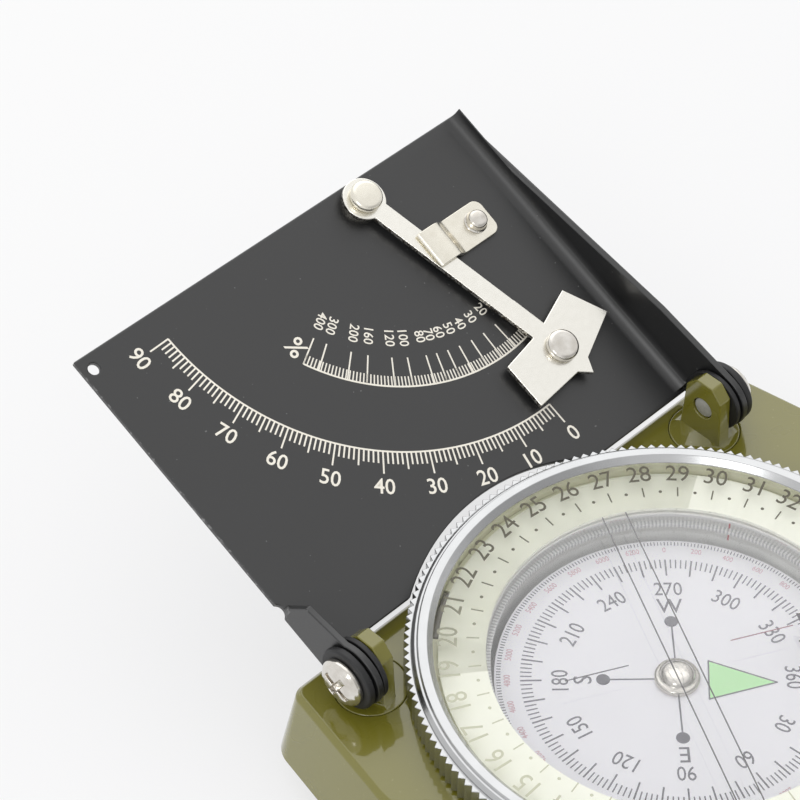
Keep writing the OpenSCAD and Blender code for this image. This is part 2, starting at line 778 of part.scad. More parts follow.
module pendulum_arm() {
    color(steel)
    on_pendulum()
        translate([0, 0, arm_from])
            difference() {
                linear_extrude(height = arm_t)
                    union() {
                        circle(r = eye_r);
                        translate([-arm_w / 2, -weight_top - 1])
                            square([arm_w, weight_top + 1]);
                        weight_outline();
                    }
                translate([0, 0, -cut]) {
                    cylinder(r = pivot_shank_r + pivot_fit, h = arm_t + 2 * cut);
                    translate([0, -weight_rivet_d, 0])
                        cylinder(r = weight_head_r / 2 + foot_gap, h = arm_t + 2 * cut);
                }
            }
}

module pendulum_back_plate() {
    tongue_len = 3.8;
    tongue_shift = 0.45;
    color(steel)
    on_pendulum()
        translate([0, 0, arm_from - back_t - 0.02])
            difference() {
                linear_extrude(height = back_t)
                    union() {
                        translate([tongue_shift - arm_w / 2, -weight_top - 1])
                            square([arm_w, tongue_len + 1]);
                        translate([0, weight_bottom - weight_rivet_d - 0.6])
                            scale([0.88, 1])
                                polygon([
                                    [-weight_top_half_w, -weight_top - 1.6], [-weight_half_w, -weight_bottom - 1],
                                    [weight_half_w, -weight_bottom - 1], [weight_top_half_w, -weight_top - 1.6]]);
                    }
                translate([0, -weight_rivet_d, -cut])
                    cylinder(r = weight_head_r / 2 + foot_gap, h = back_t + 2 * cut);
            }
}

// A rivet with a bevelled flat head that starts at head_from and a shank down to shank_from.
module rivet(shank_r, shank_low, head_low, head_r, head_h) {
    translate([0, 0, shank_low])
        cylinder(r = shank_r, h = head_low - shank_low + head_h / 2);
    translate([0, 0, head_low])
        rotate_extrude()
            polygon([[0, 0], [head_r, 0], [head_r, head_h * 0.2], [head_r * 0.84, head_h * 0.45],
                [head_r * 0.84, head_h * 0.85], [head_r * 0.7, head_h], [0, head_h]]);
}

module pivot_rivet() {
    color(steel)
    on_lid()
        translate([pivot_u, pivot_w, 0])
            union() {
                rivet(pivot_shank_r, -sheet_t, pendulum_head_from, pivot_head_r, rivet_head_h);
                translate([0, 0, -sheet_t - stack_gap - 0.4])
                    cylinder(r = pivot_head_r, h = 0.4);
                translate([0, 0, -sheet_t - stack_gap - 0.2])
                    cylinder(r = pivot_shank_r, h = 0.5);
            }
}

module weight_rivet() {
    color(steel)
    on_pendulum()
        translate([0, -weight_rivet_d, 0])
            rivet(weight_head_r / 2, arm_from - back_t, arm_top + 0.02, weight_head_r, rivet_head_h);
}

// Spring clip: a flat foot, a step up and a tongue over the parked arm, in u and h.
module parking_clip() {
    top_h = clip_top_from + clip_t;
    color(steel)
    on_lid()
        difference() {
            translate([0, clip_w + clip_width / 2, 0])
                rotate([90, 0, 0])
                    linear_extrude(height = clip_width)
                        polygon([
                            [step_u, 0], [clip_u, 0], [clip_u, clip_t], [step_u + clip_t + 0.9, clip_t],
                            [step_u + clip_t, top_h - 0.2], [step_u + clip_t - 0.3, top_h], [clip_left + 0.3, top_h],
                            [clip_left, top_h - 0.25], [clip_left, clip_top_from - 0.15],
                            [clip_left + 0.3, clip_top_from], [step_u, clip_top_from]]);
            translate([clip_rivet_u, clip_w, -cut])
                cylinder(r = clip_head_r / 2 + foot_gap, h = clip_t + 2 * cut);
        }
}

module clip_rivet() {
    color(steel)
    on_lid()
        translate([clip_rivet_u, clip_w, 0])
            rivet(clip_head_r / 2, -sheet_t, clip_t + 0.02, clip_head_r, rivet_head_h);
}

// Points round the knurl, two to a tooth.
function knurl_points() = [for (k = [0 : 2 * knurl_teeth - 1])
    let (r = k % 2 == 0 ? knurl_r : knurl_r - knurl_depth, a = k * 180 / knurl_teeth)
    [r * cos(a), r * sin(a)]];

module bezel_ring() {
    crest_z = dial_z + crest_rise;
    color(bright)
    difference() {
        union() {
            translate([0, 0, bezel_bottom_z])
                linear_extrude(height = knurl_top_z - bezel_bottom_z)
                    polygon(knurl_points());
            rotate_extrude()
                polygon([
                    [lip_r, bezel_bottom_z + cut], [step_r, bezel_bottom_z + cut], [step_r, knurl_top_z + 0.25],
                    [step_r - 0.35, dial_z + crest_rise * 0.6], [crest_outer_r, dial_z + crest_rise * 0.6],
                    [crest_outer_r - 0.1, crest_z], [crest_inner_r, crest_z], [lip_r, dial_z + lip_rise]]);
        }
        translate([0, 0, bezel_bottom_z - cut])
            cylinder(r = bore_r, h = dial_z + 0.02 - bezel_bottom_z + cut);
        translate([0, 0, dial_z - cut])
            cylinder(r = lip_r, h = 3 * cut);
        for (a = grub_angles)
            rotate([0, 0, a])
                translate([bore_r - 1, 0, grub_z])
                    rotate([0, 90, 0])
                        cylinder(r = grub_r + foot_gap, h = knurl_r - bore_r + 2);
    }
}

module bezel_glass() {
    color(clear)
    translate([0, 0, glass_bottom_z])
        cylinder(r = bore_r - 0.03, h = glass_t);
}

module luminous_ring() {
    color("#f1f2df")
    translate([0, 0, luminous_bottom_z])
        difference() {
            cylinder(r = luminous_r, h = luminous_t);
            translate([0, 0, -cut])
                cylinder(r = capsule_r - 0.02, h = luminous_t + 2 * cut);
        }
}

module bezel_spring() {
    color("#77756d")
    rotate([0, 0, spring_from])
        translate([0, 0, collar_top_z - spring_h])
            rotate_extrude(angle = spring_sweep)
                translate([collar_r - spring_w - 0.05, 0])
                    square([spring_w, spring_h - 0.05]);
}

module bezel_grub_screws() {
    grub_tip = collar_r - collar_groove + 0.15;
    color("#8d8d8f")
    for (a = grub_angles)
        rotate([0, 0, a])
            translate([grub_tip, 0, grub_z])
                rotate([0, 90, 0])
                    cylinder(r = grub_r, h = knurl_r - knurl_depth - grub_tip - 0.3);
}

module capsule_cup() {
    color("#b9babb")
    difference() {
        translate([0, 0, capsule_bottom_z])
            cylinder(r = capsule_outer_r, h = collar_top_z - capsule_bottom_z);
        translate([0, 0, capsule_bottom_z + capsule_floor])
            cylinder(r = capsule_r, h = collar_top_z);
        translate([0, 0, capsule_bottom_z + capsule_floor / 2])
            cylinder(r = needle_r + 0.02, h = capsule_floor);
    }
}

module capsule_window() {
    color(clear)
    translate([0, 0, window_bottom_z])
        cylinder(r = capsule_r - 0.03, h = window_t);
}

module capsule_gasket() {
    color("#9a9b9d")
    translate([0, 0, window_bottom_z - stack_gap - gasket_h])
        difference() {
            cylinder(r = capsule_r - 0.03, h = gasket_h);
            translate([0, 0, -cut])
                cylinder(r = capsule_r - gasket_w, h = gasket_h + 2 * cut);
        }
}

module pivot_needle() {
    low = capsule_bottom_z + capsule_floor / 2;
    tip = card_z + cap_rise / 2 - needle_gap;
    cone_h = 1.8;
    color(bright)
    translate([0, 0, low])
        rotate_extrude()
            polygon([[0, 0], [needle_r, 0], [needle_r, tip - cone_h - low], [0.05, tip - low], [0, tip - low]]);
}

module compass_card() {
    color("#e9e9ef")
    translate([0, 0, card_z - card_t])
        difference() {
            cylinder(r = card_r, h = card_t);
            translate([0, 0, -cut])
                cylinder(r = jewel_r + 0.4, h = card_t + 2 * cut);
        }
}

module card_magnet() {
    color("#5c5d60")
    translate([0, 0, card_z - card_t - magnet_t - 0.01])
        difference() {
            translate([-magnet_len / 2, -magnet_w / 2, 0])
                cube([magnet_len, magnet_w, magnet_t]);
            translate([0, 0, -cut])
                cylinder(r = jewel_r + 0.2, h = magnet_t + 2 * cut);
        }
}

// Domed cap with a blind recess that rides on the needle.
module jewel_cap() {
    recess_top = cap_rise / 2;
    color(bright)
    translate([0, 0, card_z])
        rotate_extrude()
            polygon([
                [jewel_r, 0.02], [cap_r, 0.02], [cap_r, cap_rise * 0.35], [cap_r * 0.8, cap_rise * 0.8],
                [cap_r * 0.5, cap_rise], [0, cap_rise], [0, recess_top], [jewel_r * 0.5, recess_top]]);
}

// Forked stand that carries the eyepiece, its foot let into the deck.
module eyepiece_stand() {
    color(olive)
    translate([housing_x, -fold_y, 0])
        difference() {
            union() {
                translate([-stand_half_w, -knuckle_r, deck_z - stand_t])
                    cube([2 * stand_half_w, 2 * knuckle_r, stand_t]);
                for (side = [-1, 1])
                    translate([side * (stand_half_w - fold_ear_t / 2), 0, 0]) {
                        translate([-fold_ear_t / 2, -knuckle_r, deck_z - cut])
                            cube([fold_ear_t, 2 * knuckle_r, fold_lift + cut]);
                        translate([0, 0, fold_z])
                            rotate([0, 90, 0])
                                cylinder(r = knuckle_r, h = fold_ear_t, center = true);
                    }
            }
            translate([0, 0, fold_z])
                rotate([0, 90, 0])
                    cylinder(r = fold_pin_r + fold_fit, h = 3 * stand_half_w, center = true);
        }
}

module eyepiece_bracket() {
    color(olive)
    translate([housing_x, -fold_y, 0])
        difference() {
            union() {
                translate([0, 0, fold_z])
                    rotate([0, 90, 0])
                        cylinder(r = knuckle_r, h = 2 * knuckle_half_w, center = true);
                translate([-knuckle_half_w, 0, bracket_bottom_z])
                    cube([2 * knuckle_half_w, lens_reach, bracket_t]);
                translate([0, lens_reach, bracket_bottom_z])
                    cylinder(r = bracket_r, h = bracket_t);
            }
            translate([0, lens_reach, bracket_bottom_z - cut])
                cylinder(r = barrel_r + barrel_fit, h = bracket_t + 2 * cut);
            translate([0, 0, fold_z])
                rotate([0, 90, 0])
                    cylinder(r = fold_pin_r + fold_fit, h = 3 * knuckle_half_w, center = true);
        }
}

module eyepiece_pin() {
    color(bright)
    translate([housing_x, -fold_y, fold_z])
        rotate([0, 90, 0])
            cylinder(r = fold_pin_r, h = 2 * stand_half_w, center = true);
}

module lens_barrel() {
    color("#3a3a3c")
    translate([housing_x, lens_reach - fold_y, barrel_bottom_z])
        difference() {
            cylinder(r = barrel_r, h = barrel_h);
            translate([0, 0, -cut])
                cylinder(r = barrel_r - 2 * barrel_wall, h = barrel_h + 2 * cut);
            translate([0, 0, barrel_wall])
                cylinder(r = barrel_r - barrel_wall, h = barrel_h);
        }
}

module eyepiece_lens() {
    lens_r = barrel_r - barrel_wall - 0.03;
    sphere_r = (lens_r * lens_r + lens_crown * lens_crown) / (2 * lens_crown);
    color(clear)
    translate([housing_x, lens_reach - fold_y, barrel_bottom_z + barrel_wall + 0.02])
        union() {
            cylinder(r = lens_r, h = lens_edge_t);
            translate([0, 0, lens_edge_t])
                intersection() {
                    translate([0, 0, lens_crown - sphere_r])
                        sphere(r = sphere_r);
                    cylinder(r = lens_r, h = lens_crown);
                }
        }
}

module lens_retainer() {
    ring_low = barrel_wall + lens_edge_t + lens_crown / 2;
    color("#3a3a3c")
    translate([housing_x, lens_reach - fold_y, barrel_bottom_z + ring_low])
        difference() {
            cylinder(r = barrel_r - barrel_wall - 0.03, h = 0.6);
            translate([0, 0, -cut])
                cylinder(r = barrel_r - 2.2 * barrel_wall, h = 0.6 + 2 * cut);
        }
}

// Post with an eye across it, held in the front wall by its stem.
module ring_post() {
    stem_len = ring_eye_y - front_y + wall_t - 1;
    color(olive)
    translate([housing_x, -ring_eye_y, ring_eye_z])
        difference() {
            union() {
                rotate([0, 90, 0])
                    cylinder(r = ring_post_r, h = ring_post_t, center = true);
                rotate([-90, 0, 0])
                    cylinder(r = ring_stem_r, h = stem_len);
            }
            rotate([0, 90, 0])
                cylinder(r = ring_eye_r, h = 4 * ring_post_t, center = true);
        }
}

module thumb_ring() {
    color(bright)
    translate([housing_x, -ring_eye_y, ring_eye_z])
        rotate([ring_drop, 0, 0])
            translate([0, -ring_r, 0])
                rotate_extrude()
                    translate([ring_r, 0])
                        circle(r = ring_wire_r);
}

module level_cup() {
    color(bright)
    translate([housing_x + level_x, -level_y, level_bottom_z])
        difference() {
            cylinder(r = level_cup_r, h = level_top_z - level_bottom_z);
            translate([0, 0, level_wall])
                cylinder(r = level_cup_r - level_wall, h = level_top_z);
        }
}

module level_vial() {
    vial_h = level_top_z - level_bottom_z - level_wall - 0.2;
    color([0.75, 0.95, 0.45, 0.6])
    translate([housing_x + level_x, -level_y, level_bottom_z + level_wall + 0.02])
        difference() {
            cylinder(r = level_cup_r - level_wall - 0.03, h = vial_h);
            translate([0, 0, vial_h - 0.9])
                cylinder(r = bubble_r, h = 0.5);
        }
}

housing();
dial_collar();
base_plate();
base_screws();
hinge_lug(-1);  // hinge_lug_left
hinge_lug(1);  // hinge_lug_right
lug_screws();
hinge_screw(-1);  // hinge_screw_left
hinge_screw(1);  // hinge_screw_right
washer(-1, inner_washer_from, inner_washer_t);  // inner_washer_left
washer(1, inner_washer_from, inner_washer_t);  // inner_washer_right
washer(-1, outer_washer_from, outer_washer_t);  // outer_washer_left
washer(1, outer_washer_from, outer_washer_t);  // outer_washer_right
lid();
pendulum_spacer();
pendulum_arm();
pendulum_back_plate();
pivot_rivet();
weight_rivet();
parking_clip();
clip_rivet();
bezel_ring();
bezel_glass();
luminous_ring();
bezel_spring();
bezel_grub_screws();
capsule_cup();
capsule_gasket();
capsule_window();
pivot_needle();
compass_card();
card_magnet();
jewel_cap();
eyepiece_stand();
eyepiece_bracket();
eyepiece_pin();
lens_barrel();
eyepiece_lens();
lens_retainer();
ring_post();
thumb_ring();
level_cup();
level_vial();
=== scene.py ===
import math

import bmesh
import bpy
from mathutils import Matrix, Vector


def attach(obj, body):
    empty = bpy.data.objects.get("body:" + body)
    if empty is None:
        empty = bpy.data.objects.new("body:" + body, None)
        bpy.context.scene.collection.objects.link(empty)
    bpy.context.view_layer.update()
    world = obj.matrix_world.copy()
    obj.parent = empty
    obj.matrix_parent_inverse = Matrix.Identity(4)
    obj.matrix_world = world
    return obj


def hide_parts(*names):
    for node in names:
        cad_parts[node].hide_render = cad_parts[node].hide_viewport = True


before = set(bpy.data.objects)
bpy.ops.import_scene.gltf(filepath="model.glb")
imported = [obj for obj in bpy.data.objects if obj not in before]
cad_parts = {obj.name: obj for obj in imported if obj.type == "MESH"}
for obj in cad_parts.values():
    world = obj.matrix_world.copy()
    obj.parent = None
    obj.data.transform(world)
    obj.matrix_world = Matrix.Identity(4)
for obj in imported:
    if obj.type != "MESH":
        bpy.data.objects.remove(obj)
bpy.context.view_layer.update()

MM = 0.001
TURN = 2 * math.pi

# The studio: a white table under soft light, seen from the front left by a long lens. The floor
# takes the light of the lamps, and shows as a pale sheet to the camera and in the bright metal.
view = bpy.context.scene
view.view_settings.view_transform = "Standard"
lens = bpy.data.cameras.new("long_lens")
lens.sensor_width = 36
lens.lens = 136.08
lens.clip_start = 0.01
lens.clip_end = 20
camera = bpy.data.objects.new("camera", lens)
camera.location = Vector((-144.235, -108.83, 234.647)) * MM
camera.rotation_euler = [math.radians(turn) for turn in (43.778, -0.105, -44.5)]
view.collection.objects.link(camera)
view.camera = camera


class Field:
    """A socket of a finish, with arithmetic that adds the nodes."""

    def __init__(self, socket, tree):
        self.socket = socket
        self.tree = tree

    def add(self, kind, settings, sockets, out=0):
        """A node of that kind, with its settings made first, then its sockets."""
        node = self.tree.nodes.new(kind)
        for name, value in settings.items():
            setattr(node, name, value)
        for key, value in sockets.items():
            if isinstance(value, Field):
                self.tree.links.new(value.socket, node.inputs[key])
            else:
                node.inputs[key].default_value = value
        return Field(node.outputs[out], self.tree)

    def maths(self, operation, *others):
        return self.add("ShaderNodeMath", {"operation": operation}, dict(enumerate((self, *others))))

    def __add__(self, other):
        return self.maths("ADD", other)

    __radd__ = __add__

    def __sub__(self, other):
        return self.maths("SUBTRACT", other)

    def __rsub__(self, other):
        return self.maths("MULTIPLY_ADD", -1.0, other)

    def __mul__(self, other):
        return self.maths("MULTIPLY", other)

    __rmul__ = __mul__

    def above(self, edge, softness):
        """0 below edge and 1 above it, over a ramp of that width."""
        return self.add("ShaderNodeMapRange", {"interpolation_type": "SMOOTHSTEP"},
                        {"Value": self, "From Min": edge - softness / 2, "From Max": edge + softness / 2})

    def grain(self, size, detail=2.0, rough=0.5):
        """Noise with features of about that size in metres."""
        return self.add("ShaderNodeTexNoise", {"noise_dimensions": "3D"},
                        {"Vector": self, "Scale": 1 / size, "Detail": detail, "Roughness": rough})

    def axis(self, index):
        return self.add("ShaderNodeSeparateXYZ", {}, {0: self}, out=index)

    def tint(self, low, high):
        """Colour from low to high as this field goes from 0 to 1."""
        return self.add("ShaderNodeMix", {"data_type": "RGBA"},
                        {"Factor": self, 6: (*low, 1), 7: (*high, 1)}, out=2)

    def over(self, colour, high):
        """A colour field, covered by the colour high where this field is 1."""
        return self.add("ShaderNodeMix", {"data_type": "RGBA"},
                        {"Factor": self, 6: colour, 7: (*high, 1)}, out=2)


def linear(red, green, blue):
    """Linear colour from the 0 to 255 values of a display."""
    return tuple(((c / 255 + 0.055) / 1.055) ** 2.4 if c > 10 else c / 3294 for c in (red, green, blue))


def new_finish(name, **constants):
    """A finish with its shader and the place on the piece, in metres."""
    material = bpy.data.materials.new(name)
    material.use_nodes = True
    tree = material.node_tree
    shader = tree.nodes["Principled BSDF"]
    for socket, value in constants.items():
        shader.inputs[socket.replace("_", " ")].default_value = value
    place = Field(tree.nodes.new("ShaderNodeTexCoord").outputs["Object"], tree)
    return material, shader, place


def paint(shader, colour=None, roughness=None, relief=None, depth=0.0, **fields):
    """Feeds colour, roughness and relief fields to the shader."""
    links = shader.id_data.links
    if colour is not None:
        links.new(colour.socket, shader.inputs["Base Color"])
    if roughness is not None:
        links.new(roughness.socket, shader.inputs["Roughness"])
    if relief is not None:
        bump = relief.add("ShaderNodeBump", {}, {"Height": relief, "Distance": depth, "Strength": 1.0})
        links.new(bump.socket, shader.inputs["Normal"])
    for name, field in fields.items():
        links.new(field.socket, shader.inputs[name.replace("_", " ")])


def soft_lamp(name, direction, distance, size, radiance):
    """A square soft lamp that faces the dial."""
    lamp = bpy.data.lights.new(name, "AREA")
    lamp.size = size
    lamp.energy = radiance * math.pi * size * size
    holder = bpy.data.objects.new(name, lamp)
    aim = Vector(direction).normalized()
    holder.location = aim * distance
    holder.rotation_euler = aim.to_track_quat("Z", "Y").to_euler()
    view.collection.objects.link(holder)


soft_lamp("edge_softbox", (-0.68, -0.30, 0.62), 0.8, 0.24, 4.5)

world = bpy.data.worlds.new("tent")
view.world = world
world.use_nodes = True
tent = world.node_tree.nodes["Background"]
tent.inputs["Color"].default_value = (1, 1, 1, 1)
sky = Field(world.node_tree.nodes.new("ShaderNodeTexCoord").outputs["Generated"], world.node_tree)


def towards(x, y, z):
    """How nearly a direction in the tent points that way, 1 when it does."""
    return sky.add("ShaderNodeVectorMath", {"operation": "DOT_PRODUCT"},
                   {0: sky, 1: Vector((x, y, z)).normalized()}, out=1)


back_glow = towards(0.48, 0.50, 0.72).above(0.84, 0.30)
front_shade = towards(0.25, -0.96, 0.10).above(0.80, 0.3)
level = 0.93 + back_glow * 0.85 - front_shade * 0.4
world.node_tree.links.new(level.socket, tent.inputs["Strength"])

floor_mesh = bmesh.new()
bmesh.ops.create_grid(floor_mesh, x_segments=1, y_segments=1, size=3.0)
table = bpy.data.meshes.new("table_top")
floor_mesh.to_mesh(table)
floor_mesh.free()
table_top = bpy.data.objects.new("table_top", table)
view.collection.objects.link(table_top)
white_paper, sheet_shader, spot = new_finish("white_paper", Roughness=0.9)
paper_tone = spot.grain(0.4).tint((0.86, 0.86, 0.865), (0.89, 0.89, 0.89))
paint(sheet_shader, colour=paper_tone)
seen = spot.add("ShaderNodeLightPath", {}, {}, out=0)
mirrored = spot.add("ShaderNodeLightPath", {}, {}, out=3)
passed = spot.add("ShaderNodeLightPath", {}, {}, out=6)
direct = seen.maths("MAXIMUM", mirrored).maths("MAXIMUM", passed)
# Painted falloff: the sheet is painted darker towards the front and lighter towards the back, standing in
# for how the light falls across the table.
painted_falloff = spot.axis(1).above(0.03, 0.35).tint((0.93, 0.93, 0.945), (0.985, 0.985, 0.985))
lit_sheet = spot.add("ShaderNodeEmission", {}, {"Color": painted_falloff, "Strength": 0.975})
lamplit_sheet = Field(sheet_shader.outputs[0], spot.tree)
mixed = spot.add("ShaderNodeMixShader", {}, {0: direct * 0.72, 1: lamplit_sheet, 2: lit_sheet})
spot.tree.links.new(mixed.socket, spot.tree.nodes["Material Output"].inputs["Surface"])
table.materials.append(white_paper)


# Housing: an aluminium casting in olive enamel, with a deck and drafted walls. The enamel is glossy
# and thick, so every edge is rounded and catches the light.
ENAMEL_EDGE = 0.14 * MM


def joined(node):
    """The node's mesh with its loose triangles merged into whole faces."""
    bm = bmesh.new()
    bm.from_mesh(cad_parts[node].data)
    bmesh.ops.remove_doubles(bm, verts=bm.verts, dist=0.002 * MM)
    bmesh.ops.dissolve_limit(bm, angle_limit=math.radians(0.4), verts=bm.verts, edges=bm.edges)
    return bm


def add_piece(name, bm, finish, body, sharp=35.0):
    """A piece from a bmesh, in its finish, riding on its body."""
    mesh = bpy.data.meshes.new(name)
    bm.to_mesh(mesh)
    bm.free()
    mesh.shade_smooth()
    mesh.set_sharp_from_angle(angle=math.radians(sharp))
    mesh.materials.append(finish)
    piece = bpy.data.objects.new(name, mesh)
    view.collection.objects.link(piece)
    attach(piece, body)
    return piece


def soften(piece, width, segments=2, angle=30.0, outward=False):
    """Rounds the piece's edges; outward leaves its inside corners as they are."""
    edge = piece.modifiers.new("edge", "BEVEL")
    edge.width = width
    edge.segments = segments
    edge.limit_method = "ANGLE"
    edge.angle_limit = math.radians(angle)
    if outward:
        edge.limit_method = "WEIGHT"
        bm = bmesh.new()
        bm.from_mesh(piece.data)
        weight = bm.edges.layers.float.new("bevel_weight_edge")
        for crease in bm.edges:
            crease[weight] = float(crease.is_convex and crease.calc_face_angle(0) > math.radians(angle))
        bm.to_mesh(piece.data)
        bm.free()
    edge.use_clamp_overlap = False
    edge.harden_normals = True


enamel, enamel_shader, spot = new_finish(
    "olive_enamel", Roughness=0.28, Coat_Weight=1.0, Coat_Roughness=0.06, Coat_IOR=1.6,
    Specular_IOR_Level=0.25)
mottle = spot.grain(9 * MM, 3.0)
speck = spot.grain(0.5 * MM, 1.0).above(0.74, 0.05)
olive = mottle.tint(linear(110, 106, 34), linear(117, 112, 38))
paint(enamel_shader, colour=speck.over(olive, linear(128, 124, 62)),
      roughness=0.22 + mottle * 0.12, relief=spot.grain(1.4 * MM, 2.0), depth=0.012 * MM)

casting = add_piece("housing_casting", joined("housing"), enamel, "base")
soften(casting, ENAMEL_EDGE, 3, 25.0, outward=True)
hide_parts("housing")


# Base plate and its four screws: a painted plate let into the open underside of the casting. The
# screws are plated steel with a cross recess, sunk below the face that the compass rests on.
base = add_piece("base_cover", joined("base_plate"), enamel, "base")
soften(base, 0.2 * MM)
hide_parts("base_plate")

plated, plated_shader, spot = new_finish("plated_steel", Metallic=1.0)
smudge = spot.grain(1.2 * MM, 3.0)
paint(plated_shader, colour=smudge.tint((0.50, 0.46, 0.40), (0.90, 0.88, 0.84)),
      roughness=0.08 + smudge * 0.16, relief=spot.grain(0.25 * MM, 2.0), depth=0.004 * MM)
screws = add_piece("base_screw_set", joined("base_screws"), plated, "base")
soften(screws, 0.08 * MM)
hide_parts("base_screws")


# Collar: a turned ring pressed into the deck's opening, with a groove for the bezel's grub screws.
# Its face is drawn in a light cream, close to that of the dial ring above it.
cream_face, cream_face_shader, spot = new_finish("cream_face", Roughness=0.55)
paint(cream_face_shader, colour=spot.grain(2 * MM, 3.0).tint(linear(222, 222, 196), linear(232, 232, 208)))
collar = add_piece("turned_collar", joined("dial_collar"), cream_face, "base")
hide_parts("dial_collar")


# Hinge lugs: two enamelled posts on round feet, let into the deck and held from inside by a screw
# each. Their corners are cast round and the enamel runs thin over them.
def dress(node, finish):
    """Gives a carried-over node its finish."""
    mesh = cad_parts[node].data
    mesh.materials.clear()
    mesh.materials.append(finish)


for side in ("left", "right"):
    lug = add_piece("lug_" + side, joined("hinge_lug_" + side), enamel, "base")
    soften(lug, ENAMEL_EDGE, 3, outward=True)
    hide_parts("hinge_lug_" + side)
dress("lug_screws", plated)


# Capsule: a turned aluminium cup under its own window, with a toothed gasket between them. A red
# lubber line is painted down the inside of the wall.
def turned(profile, steps=96):
    """A closed turned solid from its outline as radius and height, in millimetres."""
    bm = bmesh.new()
    verts = [bm.verts.new((r * MM, 0, z * MM)) for r, z in profile]
    edges = [bm.edges.new(pair) for pair in zip(verts, verts[1:])]
    if profile[0][0] > 0:
        edges.append(bm.edges.new((verts[-1], verts[0])))
    bmesh.ops.spin(bm, geom=verts + edges, cent=(0, 0, 0), axis=(0, 0, 1), angle=TURN, steps=steps,
                   use_merge=True)
    bmesh.ops.remove_doubles(bm, verts=bm.verts, dist=0.001 * MM)
    bmesh.ops.recalc_face_normals(bm, faces=bm.faces)
    return bm


def plain_disc(node, ring=False):
    """A cleanly turned solid in the place of a node that is a plain disc or ring."""
    corners = [vert.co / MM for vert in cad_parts[node].data.vertices]
    radii = [math.hypot(corner.x, corner.y) for corner in corners]
    heights = [corner.z for corner in corners]
    inner, outer = min(radii) if ring else 0.0, max(radii)
    low, high = min(heights), max(heights)
    return turned([(inner, low), (outer, low), (outer, high), (inner, high)], 192)


def around(spot):
    """Distance from the dial axis, and turns round it, at a place."""
    x, y = spot.axis(0), spot.axis(1)
    return (x * x + y * y).maths("SQRT"), y.maths("ARCTAN2", x)


turned_grey, cup_shader, spot = new_finish("turned_cup", Metallic=0.0, Roughness=0.45)
height = spot.axis(2)
ring_lines = (height * (TURN / (0.35 * MM))).maths("SINE")
# Painted shade: the cup's wall is painted darker low down inside it and lighter near its rim.
cup_shade = height.above(11.6 * MM, 1.6 * MM)
paint(cup_shader, colour=cup_shade.tint(linear(226, 226, 222), linear(238, 237, 233)),
      relief=ring_lines, depth=0.002 * MM)
cup = add_piece("capsule_bowl", joined("capsule_cup"), turned_grey, "base")
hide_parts("capsule_cup")

toothed, tooth_shader, spot = new_finish("toothed_gasket", Roughness=0.5)
TEETH = 300
reach, bearing = around(spot)
# Painted shade: the flat ring is painted with darker stripes where the grooves between its teeth would lie
# in shade.
tooth_gap_shade = (bearing * TEETH).maths("SINE").above(0.0, 0.5)
paint(tooth_shader, colour=tooth_gap_shade.tint(linear(192, 192, 192), linear(232, 232, 230)))
gasket = add_piece("toothed_ring", plain_disc("capsule_gasket", ring=True), toothed, "base")
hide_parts("capsule_gasket")

red_line, red_shader, spot = new_finish("red_line", Roughness=0.5)
paint(red_shader, colour=spot.grain(0.4 * MM).tint(linear(176, 70, 78), linear(196, 92, 98)))
LUBBER_ANGLE = math.radians(26)
LUBBER_PLACE = Vector((18.12, 0, 11.65)) * MM
LUBBER_SIZE = Vector((0.06, 0.16, 2.4)) * MM
bm = bmesh.new()
bmesh.ops.create_cube(bm, size=1, matrix=Matrix.Rotation(LUBBER_ANGLE, 4, "Z")
                      @ Matrix.Translation(LUBBER_PLACE) @ Matrix.Diagonal((*LUBBER_SIZE, 1)))
add_piece("lubber_line", bm, red_line, "base")


# Clear parts: flat glass that lets the print and the card show without bending them. Only its gloss
# is drawn, as a thin clear sheet does.
def glass_finish(name, gloss):
    """Thin clear glass with a faint reflection."""
    material, _, spot = new_finish(name, Roughness=0.02)
    tree = spot.tree
    clear = spot.add("ShaderNodeBsdfTransparent", {}, {"Color": (1, 1, 1, 1)})
    sheen = spot.add("ShaderNodeBsdfGlossy", {}, {"Color": (1, 1, 1, 1), "Roughness": 0.02})
    rim = spot.add("ShaderNodeFresnel", {}, {"IOR": 1.45})
    mixed = spot.add("ShaderNodeMixShader", {}, {0: rim * gloss, 1: clear, 2: sheen})
    tree.links.new(mixed.socket, tree.nodes["Material Output"].inputs["Surface"])
    return material


clear_glass = glass_finish("clear_glass", 0.35)
window = add_piece("window_disc", plain_disc("capsule_window"), clear_glass, "base")
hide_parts("capsule_window")


# Compass card: a white disc with the printed circle, floating on a needle under a domed cap. The
# magnet is a bar below it.
card_white, card_shader, spot = new_finish("card_white", Roughness=0.55)
paint(card_shader, colour=spot.grain(6 * MM, 2.0).tint(linear(241, 240, 245), linear(246, 245, 250)),
      relief=spot.grain(0.3 * MM), depth=0.002 * MM)
disc = add_piece("card_disc", plain_disc("compass_card", ring=True), card_white, "card")
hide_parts("compass_card")

CARD_Z = 10.1 * MM
INK_T = 0.012 * MM
WEST = math.radians(46.46)


def ink_bar(bm, place, length, width):
    """A flat printed bar along Y of place."""
    bmesh.ops.create_cube(bm, size=1, matrix=place @ Matrix.Diagonal((width, length, INK_T, 1)))


def ink_ring(bm, inner, outer, place, start=0.0, sweep=TURN, steps=120):
    """A flat printed ring or arc about Z of place."""
    corners = [(inner, 0, 0), (outer, 0, 0), (outer, 0, INK_T), (inner, 0, INK_T)]
    turn = Matrix.Rotation(start, 4, "Z")
    face = bm.faces.new([bm.verts.new(place @ turn @ Vector(c)) for c in corners])
    axis = (place.to_3x3() @ Vector((0, 0, 1))).normalized()
    bmesh.ops.spin(bm, geom=[face, *face.verts, *face.edges], cent=place.translation, axis=axis,
                   angle=sweep, steps=steps, use_merge=sweep == TURN)
    if sweep == TURN and face.is_valid:
        bm.faces.remove(face)


FONT_DEPTH = 0.02


